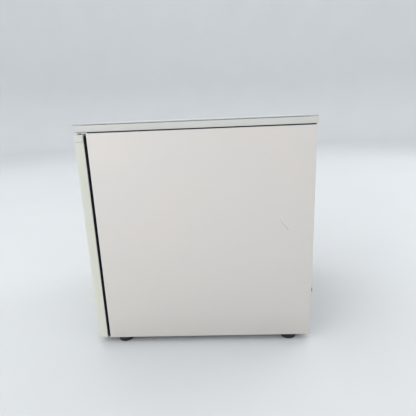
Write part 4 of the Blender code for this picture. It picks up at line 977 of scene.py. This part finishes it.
def compressor_mounts():
    for name in MOUNTS:
        grommet, nut = f"compressor_grommet_{name}", f"compressor_nut_{name}"
        low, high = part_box(grommet)
        at, r, bore = upright(low, high), (high.x - low.x) / 2, 0.0036
        neck = r - 0.0014
        profile = [(bore, low.z), (r - 0.0008, low.z), (r, low.z + 0.0008), (r, low.z + 0.004)]
        profile += [(neck, low.z + 0.005), (neck, low.z + 0.0066), (r, low.z + 0.0078)]
        profile += [(r, high.z - 0.0042), (r - 0.001, high.z - 0.0022), (r - 0.0022, high.z - 0.0004)]
        profile += [(r - 0.003, high.z), (bore, high.z), (bore, low.z)]
        piece(lathe(f"grommet_{name}", profile, at, "Z", 40), "black_rubber", grommet)
        low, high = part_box(nut)
        piece(hex_nut(f"nut_{name}", at, low.z, high.z, 0.0065), "zinc_steel", nut)


def hex_nut(name, at, low, high, reach):
    """Hexagon nut with chamfered corners on a washer."""
    nut = lathe("hexagon", ring(0.0033, reach, low + 0.0008, high), at, "Z", 6)
    wide, top = reach * 1.2, high + 0.0001
    profile = [(0, low - 0.001), (wide, low - 0.001), (wide, high - 0.0016), (reach * 0.86, top), (0, top)]
    nut = boolean(nut, [lathe("cone", profile, at, "Z", 48)], "INTERSECT")
    return joined(name, [nut, lathe("washer", ring(0.0035, reach, low, low + 0.0009), at, "Z", 40)])


def relay_cover():
    """Cover over the compressor's relay, with its clip and ribs."""
    low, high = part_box("relay_cover")
    outline = Rect(low.y, low.z, high.y, high.z, 0.006)
    body = slab("body", outline, low.x, high.x - 0.0012, "YZ", (0.0006, 0.004))
    ribs = []
    for i in range(5):
        y = low.y + 0.008 + 0.007 * i
        far = (high.x, y + 0.0015, high.z - 0.014)
        ribs.append(rounded_box("rib", (high.x - 0.006, y, low.z + 0.008), far, 0.0006, 2))
    piece(boolean(body, ribs, "UNION"), "black_plastic", "relay_cover")
    half = [(low.x - 0.004, -0.0012, 0.088), (high.x - 0.008, -0.0012, 0.088)]
    half.append((high.x - 0.0045, 0.004, 0.0895))
    path = [(x, low.y + y, z) for x, y, z in half] + [(x, high.y - y, z) for x, y, z in half[::-1]]
    piece(wires("relay_clip", [bent(path, 0.002, 4)], 0.0007, 2), "zinc_steel")


def condenser():
    """Bent tube from the left rise to the drier, and the wires on both its sides."""
    first, pitch, passes, reach = 0.125, 0.04, 9, 0.18
    corners = [(COIL_LEFT, COIL_Y, COIL_LOW.z)]
    for i in range(passes):
        start, end = (reach, -reach) if i % 2 else (-reach, reach)
        ends = (start if i else COIL_LEFT, end if i < passes - 1 else COIL_RIGHT)
        corners += [(x, COIL_Y, first + pitch * i) for x in ends]
    corners.append((COIL_RIGHT, COIL_Y, DRIER_HIGH.z + 0.0002))
    coil = wires("condenser_coil", [bent(corners, 0.014, 10)], COIL_R, 4)
    piece(coil, "black_enamel", "condenser_tube")

    low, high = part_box("condenser_wires")
    wire_r, count = 0.0007, 45
    reach, off = high.x - wire_r, COIL_R + wire_r * 0.8
    lines = []
    for k in range(count):
        x = -reach + 2 * reach * k / (count - 1)
        for y in (COIL_Y + off, COIL_Y - off):
            lines.append([(x, y, low.z + 0.0008), (x, y, high.z - 0.0008)])
    grid = wires("condenser_grid", lines, wire_r, 1)
    piece(grid, "black_enamel", "condenser_wires", smooth=60.0)


def tubes():
    """Tubes from the compressor to the condenser and to the evaporator, with their brazed collars."""
    low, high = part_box("discharge_tube")
    y, z = PORT_Y, low.z + COIL_R
    path = [(high.x + 0.0004, y, z), (COIL_LEFT, y, z), (COIL_LEFT, COIL_Y, z), (COIL_LEFT, COIL_Y, high.z)]
    line = wires("line", [bent(path, 0.014, 10)], COIL_R, 4)
    profile = [(0, 0), (0.0028, 0), (0.0036, 0.0012), (0.0036, 0.0105), (0.0028, 0.012), (0, 0.012)]
    joint = lathe("joint", profile, (COIL_LEFT, COIL_Y, high.z - 0.012), "Z", 32)
    profile = [(0, 0), (0.0042, 0), (0.0044, -0.0015), (0.0031, -0.007), (0, -0.007)]
    collar = lathe("collar", profile, (high.x + 0.0036, y, z), "X", 32)
    piece(joined("discharge_line", [line, joint, collar]), "copper", "discharge_tube")

    low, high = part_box("suction_tube")
    r = 0.004
    x, z = high.x - r, low.z + r
    line = wires("line", [bent([(low.x - 0.0006, y, z), (x, y, z), (x, y, high.z)], 0.014, 10)], r, 5)
    profile = [(0, 0), (0.0062, 0), (0.0064, 0.0018), (0.0048, 0.009), (0, 0.009)]
    collar = lathe("collar", profile, (low.x - 0.0022, y, z), "X", 32)
    profile = [(0, 0), (0.0046, 0), (0.0052, 0.0014), (0.0052, 0.018), (0.0046, 0.0194), (0, 0.0194)]
    sleeve = lathe("sleeve", profile, (x, y, 0.134), "Z", 32)
    piece(joined("suction_line", [line, collar, sleeve]), "copper", "suction_tube")


def drier():
    """Filter drier, and the capillary tube that leaves it and is coiled up beside it."""
    r, length = (DRIER_HIGH.x - DRIER_LOW.x) / 2, DRIER_HIGH.z - DRIER_LOW.z
    profile = [(0, 0), (0.003, 0), (0.0032, 0.0015), (0.0032, 0.0055), (0.004, 0.0075)]
    profile += [(r - 0.0012, 0.013), (r, 0.015)]
    profile += [(radius, length - z) for radius, z in reversed(profile)]
    shell = lathe("drier", profile, (DRIER_X, COIL_Y, DRIER_LOW.z), "Z", 48)
    piece(shell, "copper", "filter_drier")

    coil_r, turns, per_turn, rise = 0.014, 3, 36, 0.036
    x, y, z = 0.15, 0.19, 0.05  # the coil's middle and its start
    out, steps = x + coil_r, turns * per_turn
    lead = [(DRIER_X, COIL_Y, DRIER_LOW.z - 0.0002), (DRIER_X, COIL_Y, z), (DRIER_X, y - 0.012, z)]
    path = bent([*lead, (out, y - 0.012, z), (out, y - 0.001, z + 0.0018)], 0.006, 6)
    for i in range(1, steps + 1):
        angle, height = math.tau * i / per_turn, z + 0.002 + rise * i / steps
        path.append((x + coil_r * math.cos(angle), y + coil_r * math.sin(angle), height))
    path += [(out, y + 0.0012, z + 0.041), (out, y + 0.0026, z + 0.045), (out, y + 0.003, z + 0.05)]
    path.append((out, y + 0.003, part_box("capillary_tube")[1].z))
    piece(wires("capillary_line", [path], 0.0012, 3), "copper", "capillary_tube")


def gland():
    """Grommet through which the cord leaves the back."""
    low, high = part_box("cord_gland")
    at = Vector(((low.x + high.x) / 2, low.y, (low.z + high.z) / 2))
    r, neck, bore, deep = (high.x - low.x) / 2, 0.0047, 0.0034, high.y - low.y
    profile = [(bore, 0), (r - 0.0006, 0), (r, 0.0006), (r, 0.0009), (neck, 0.001), (neck, deep - 0.0025)]
    profile += [(r, deep - 0.0025), (r, deep - 0.0016), (r - 0.0014, deep - 0.0004), (0.0044, deep)]
    profile += [(0.0036, deep - 0.0003), (bore, deep - 0.001), (bore, 0)]
    piece(lathe("cord_grommet", profile, at, "Y", 40), "black_rubber", "cord_gland")


# Screws and feet


def pan_screw(name, node, up):
    """Pan-head screw with a cross recess, its head up or down."""
    low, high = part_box(node)
    r, head, length = (high.x - low.x) / 2, 0.0024, high.z - low.z
    crest, root, pitch = 0.0018, 0.0014, 0.0007
    profile = [(0, head), (r * 0.45, head - 0.0001), (r * 0.75, head - 0.0005), (r * 0.93, head - 0.0011)]
    profile += [(r, 0.0006), (r, 0.0001), (r - 0.0002, 0), (crest, 0)]
    for i in range(int((length - head) / pitch) - 1):
        z = -0.0004 - pitch * i
        profile += [(crest, z), (root, z - pitch / 2)]
    profile.append((0, head - length))
    body = lathe(name, profile, (0, 0, 0), "Z", 32)
    arm, half = 0.0022, 0.0004
    cross = [tool((-x, -y, head - 0.0013), (x, y, head + 0.001)) for x, y in ((arm, half), (half, arm))]
    body = boolean(body, cross)
    turn = Matrix.Rotation(0.6 if up else 0.25, 4, "Z")
    if not up:
        turn = Matrix.Rotation(math.pi, 4, "X") @ turn
    at = upright(low, high)
    at.z = high.z - head if up else low.z + head
    body.data.transform(Matrix.Translation(at) @ turn)
    piece(body, "zinc_steel", node)


def foot(name, at, r, top, stem=0.0, stem_r=0.0):
    """Ribbed foot with a sunk ring underneath, and a stem up to a height if one is given."""
    profile = [(0, 0.0016), (r * 0.42, 0.0016), (r * 0.48, 0.0), (r - 0.0018, 0.0), (r - 0.0006, 0.0006)]
    profile += [(r, 0.0018), (r, top - 0.0024), (r - 0.0005, top - 0.001), (r - 0.0014, top - 0.0002)]
    profile.append((r - 0.0024, top))
    if stem:
        profile += [(stem_r + 0.002, top), (stem_r + 0.0006, top + 0.0005), (stem_r, top + 0.0014)]
        profile += [(stem_r, stem - 0.001), (stem_r - 0.001, stem), (0, stem)]
    else:
        profile += [(0.0062, top), (0.0058, top - 0.0008), (0, top - 0.0008)]
    made = lathe(name, profile, at, "Z", 144)
    ripple(made, at, (0, 1), 36, 0.022, 3, lambda away, co: away > r - 0.0001 and 0.001 < co.z < top)
    return made


def feet():
    pitch, groove = 0.00125, 0.0007
    for side in ("left", "right"):
        pad, stud, fixed = f"front_{side}_foot_pad", f"front_{side}_foot_stud", f"rear_{side}_foot"
        low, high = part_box(pad)
        at = upright(low, high)
        piece(foot(f"foot_pad_{side}", at, (high.x - low.x) / 2, high.z), "black_rubber", pad, body=pad)

        low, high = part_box(stud)
        r = (high.x - low.x) / 2
        root, z = r - groove, low.z
        profile = [(0, z - 0.0006), (root, z - 0.0006)]
        while z < high.z - 1.5 * pitch:
            profile += [(root, z), (r, z + pitch * 0.45), (r, z + pitch * 0.55)]
            z += pitch
        profile += [(root, z), (root - 0.0007, high.z), (0, high.z)]
        piece(lathe(f"foot_screw_{side}", profile, at, "Z", 40), "zinc_steel", stud, body=stud)

        low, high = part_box(fixed)
        made = foot(f"back_foot_{side}", upright(low, high), (high.x - low.x) / 2, 0.0095, high.z, 0.0035)
        piece(made, "black_rubber", fixed)


# Door

LINER_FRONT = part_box("door_liner")[0].y
PAN_FRONT = -0.203
GRIP_LOW, GRIP_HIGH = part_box("door_grip")


def door_shell():
    """Folded front skin with a rounded front corner each side and a hem behind."""
    low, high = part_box("door_skin")
    sheet, hem, corner, lip = 0.0008, 0.014, 0.0034, 0.0006
    back, front = high.y, low.y + corner
    left, right = low.x + corner, high.x - corner
    outline = [(low.x, back - lip), *arc((left, front), corner, 180, 270, 10)]
    outline += [*arc((right, front), corner, 270, 360, 10), (high.x, back - lip)]
    outline += [*arc((high.x - lip, back - lip), lip, 0, 90, 3)[1:], (high.x - hem, back)]
    outline += [(high.x - hem, back - sheet), (high.x - sheet, back - sheet)]
    outline += arc((right, front), corner - sheet, 360, 270, 8)
    outline += arc((left, front), corner - sheet, 270, 180, 8)
    outline += [(low.x + sheet, back - sheet), (low.x + hem, back - sheet), (low.x + hem, back)]
    outline += arc((low.x + lip, back - lip), lip, 90, 180, 3)[:-1]
    skin = from_bmesh("door_shell", extruded([(x, y, low.z) for x, y in outline], (0, 0, high.z - low.z)))
    far = GRIP_HIGH + Vector((CLEAR, CLEAR, CLEAR))
    skin = boolean(skin, [tool(GRIP_LOW - Vector((0.01, CLEAR, CLEAR)), far)])
    piece(skin, "door_enamel", "door_skin", body="door")


def door_filling():
    """Foam of the door: the slab behind the skin and the block in the inner panel's pan."""
    low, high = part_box("door_foam")
    step, reach, bend = LINER_FRONT + 0.0002, PAN_FRONT - 0.0017, 0.005
    slab_profile = [(0.003, low.y), (0.0, low.y + 0.003), (0.0, step)]
    pan_profile = [(0.0, step), *quarter(bend, reach - bend, bend, 1, 180, 90)]
    rects = Rect(low.x, low.z, high.x, high.z, 0.001).along(slab_profile)
    rects += Rect(-0.1743, 0.0637, 0.1743, 0.4223, 0.0105).along(pan_profile)
    block = loft("door_foam_block", rects, "XZ", 5)
    around_grip = Vector((0.0008, 0.0008, 0.0008))
    block = boolean(block, [tool(GRIP_LOW - around_grip, GRIP_HIGH + around_grip)])
    piece(block, "foam", "door_foam", body="door")


def door_caps():
    """End caps of the door, each with a blind bush for a hinge pin."""
    for end, hinge, out in (("top", "upper", 1), ("bottom", "lower", -1)):
        cap, bush = f"door_{end}_cap", f"{hinge}_hinge_bush"
        low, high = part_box(cap)
        bends = (0.0004, 0.0016)[::out]
        outline = Rect(low.x, low.y, high.x, high.y, 0.0034)
        body = slab(f"door_cap_{end}", outline, low.z, high.z, "XY", bends, 8)
        low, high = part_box(bush)
        at, r, deep = upright(low, high), (high.x - low.x) / 2, high.z - low.z
        inner, mouth = (low.z, high.z)[::out]
        mouth_end = mouth + out * 0.01
        places = sorted((inner - out * CLEAR, mouth_end))
        piece(boolean(body, [plug(r + CLEAR, *places, at, "Z", 40)]), "door_plastic", cap, body="door")
        bore = 0.00308
        profile = [(0, deep), (r, deep), (r, 0.0004), (r - 0.0004, 0), (bore + 0.0005, 0), (bore, 0.0005)]
        profile += [(bore, deep - 0.002), (0, deep - 0.002)]
        made = lathe(f"{bush}_ring", [(radius, mouth - out * z) for radius, z in profile], at, "Z", 40)
        piece(made, "black_plastic", bush, body="door")


def door_inside():
    """Inner door panel: a flat margin for the gasket, a raised pan and two dykes that hold the racks."""
    low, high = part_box("door_liner")
    front, wall, bend, half = low.y + 0.0015, 0.0015, 0.006, 0.176
    plate = Rect(low.x, low.z, high.x, high.z, 0.01)
    pan = Rect(-half, 0.062, half, 0.424, 0.012)
    outside = quarter(bend, PAN_FRONT - bend, bend, 1, 90, 180, 6)
    outside += [(0.0, front + 0.002), (-0.0006, front + 0.0006), (-0.002, front)]
    inside = [(wall, low.y), (wall, PAN_FRONT - wall - 0.005)]
    inside += quarter(bend, PAN_FRONT - bend, bend - wall, 1, 180, 90)
    margin = [(0.0004, front), (0.0, front - 0.0005), (0.0, low.y)]
    body = loft("door_panel", pan.along(outside) + plate.along(margin) + pan.along(inside), "XZ", 8)

    dykes, lugs = [], []
    for side in (-1, 1):
        left, right = sorted((side * half, side * (half - 0.01)))
        outline = Rect(left, 0.066, right, 0.303, 0.0045)
        dykes.append(slab("dyke", outline, PAN_FRONT - 0.004, -0.172, "XZ", (0.0, 0.0038)))
    body = boolean(body, dykes, "UNION")
    for node in ("door_rack_upper", "door_rack_lower"):
        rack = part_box(node)[0].z
        for side in (-1, 1):
            left, right = sorted((side * 0.1664, side * 0.1653))
            near, far = (left, PAN_FRONT - 0.001, rack - 0.004), (right, -0.176, rack - 0.0008)
            lugs.append(rounded_box("lug", near, far, 0.0004, 2))
    piece(joined("door_inner_panel", [body, *lugs]), "liner_plastic", "door_liner", body="door")

    # shallow moulded border on the upper half of the pan
    under, over = PAN_FRONT - 0.0006, PAN_FRONT + 0.0006
    rows = [(0.0, under), (0.0006, over), (0.0034, over), (0.004, under)]
    border = Rect(-0.158, 0.318, 0.158, 0.408, 0.01).along(rows)
    piece(loft("door_pan_border", border, "XZ", 6, closed=True), "liner_plastic", body="door")


def gasket():
    """Bellows seal: an outer lip out to the door's edges, a fold, and the magnet's bulb."""
    low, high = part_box("door_gasket")
    outer, inner = Rect(low.x, low.z, high.x, high.z, 0.005), Rect(-0.196, 0.036, 0.196, 0.447, 0.003)
    back, face = low.y - 0.0006, CASE_LOW.y - 0.00015
    # how far in from the outer edge, as a share of the width, and the place
    rows = [(0.04, back), (0.004, back + 0.0004), (0.000, back + 0.0011)]
    rows += [(0.000, face - 0.0024), (0.012, face - 0.0019), (0.06, face - 0.0021), (0.11, face - 0.0016)]
    rows += [(0.17, face - 0.0004), (0.23, face), (0.56, face), (0.62, face - 0.0004)]
    rows += [(0.66, face - 0.0014), (0.72, face - 0.0018), (0.78, face - 0.001), (0.86, face - 0.0004)]
    rows += [(0.94, face - 0.001), (0.985, face - 0.002), (1.000, face - 0.003)]
    rows += [(0.985, back + 0.0006), (0.9, back + 0.0006)]
    seal = loft("door_seal", [outer.towards(inner, share, y) for share, y in rows], "XZ", 5, closed=True)
    piece(seal, "gasket_rubber", "door_gasket", body="door", smooth=50.0)


def grip():
    outline = Rect(GRIP_LOW.y, GRIP_LOW.z, GRIP_HIGH.y, GRIP_HIGH.z, 0.0045)
    pocket = basin("grip_pocket", outline, GRIP_HIGH.x, GRIP_LOW.x, "YZ", 0.0015, 0.004)
    piece(pocket, "door_plastic", "door_grip", body="door")


def racks():
    """Door racks: bins with a bead round the rim, and ribs round the front."""
    for node, count in (("door_rack_upper", 1), ("door_rack_lower", 2)):
        low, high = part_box(node)
        bead = 0.0008
        outline = Rect(low.x, low.y, high.x, high.y, 0.0083).at(bead, 0.0)
        body = basin(f"{node}_bin", outline, low.z, high.z, "XY", 0.0019, 0.0055, bead=bead, steps=8)
        piece(body, "clear_plastic", node, body="door")
        left, right, rear, front = low.x + 0.0004, high.x - 0.0004, low.y + 0.012, high.y - 0.0004
        ribs = []
        for k in range(count):
            z = high.z - 0.013 - 0.016 * k
            path = bent([(left, rear, z), (left, front, z), (right, front, z), (right, rear, z)], 0.0085)
            ribs.append(wires("rib", [path], 0.0006, 2))
        piece(joined(f"{node}_ribs", ribs), "clear_plastic", body="door")


def screws():
    for side in ("a", "b"):
        pan_screw(f"top_screw_{side}", f"upper_hinge_screw_{side}", True)
        pan_screw(f"bottom_screw_{side}", f"lower_hinge_screw_{side}", False)


for make in (
    worktop, liner, freezer, freezer_flap, drip_tray, shelf, thermostat, compressor, compressor_mounts,
    relay_cover, condenser, tubes, drier, gland, screws, feet, door_shell, door_filling, door_caps,
    door_inside, gasket, grip, racks, keep_nodes, backdrop, lights, camera,
):
    make()
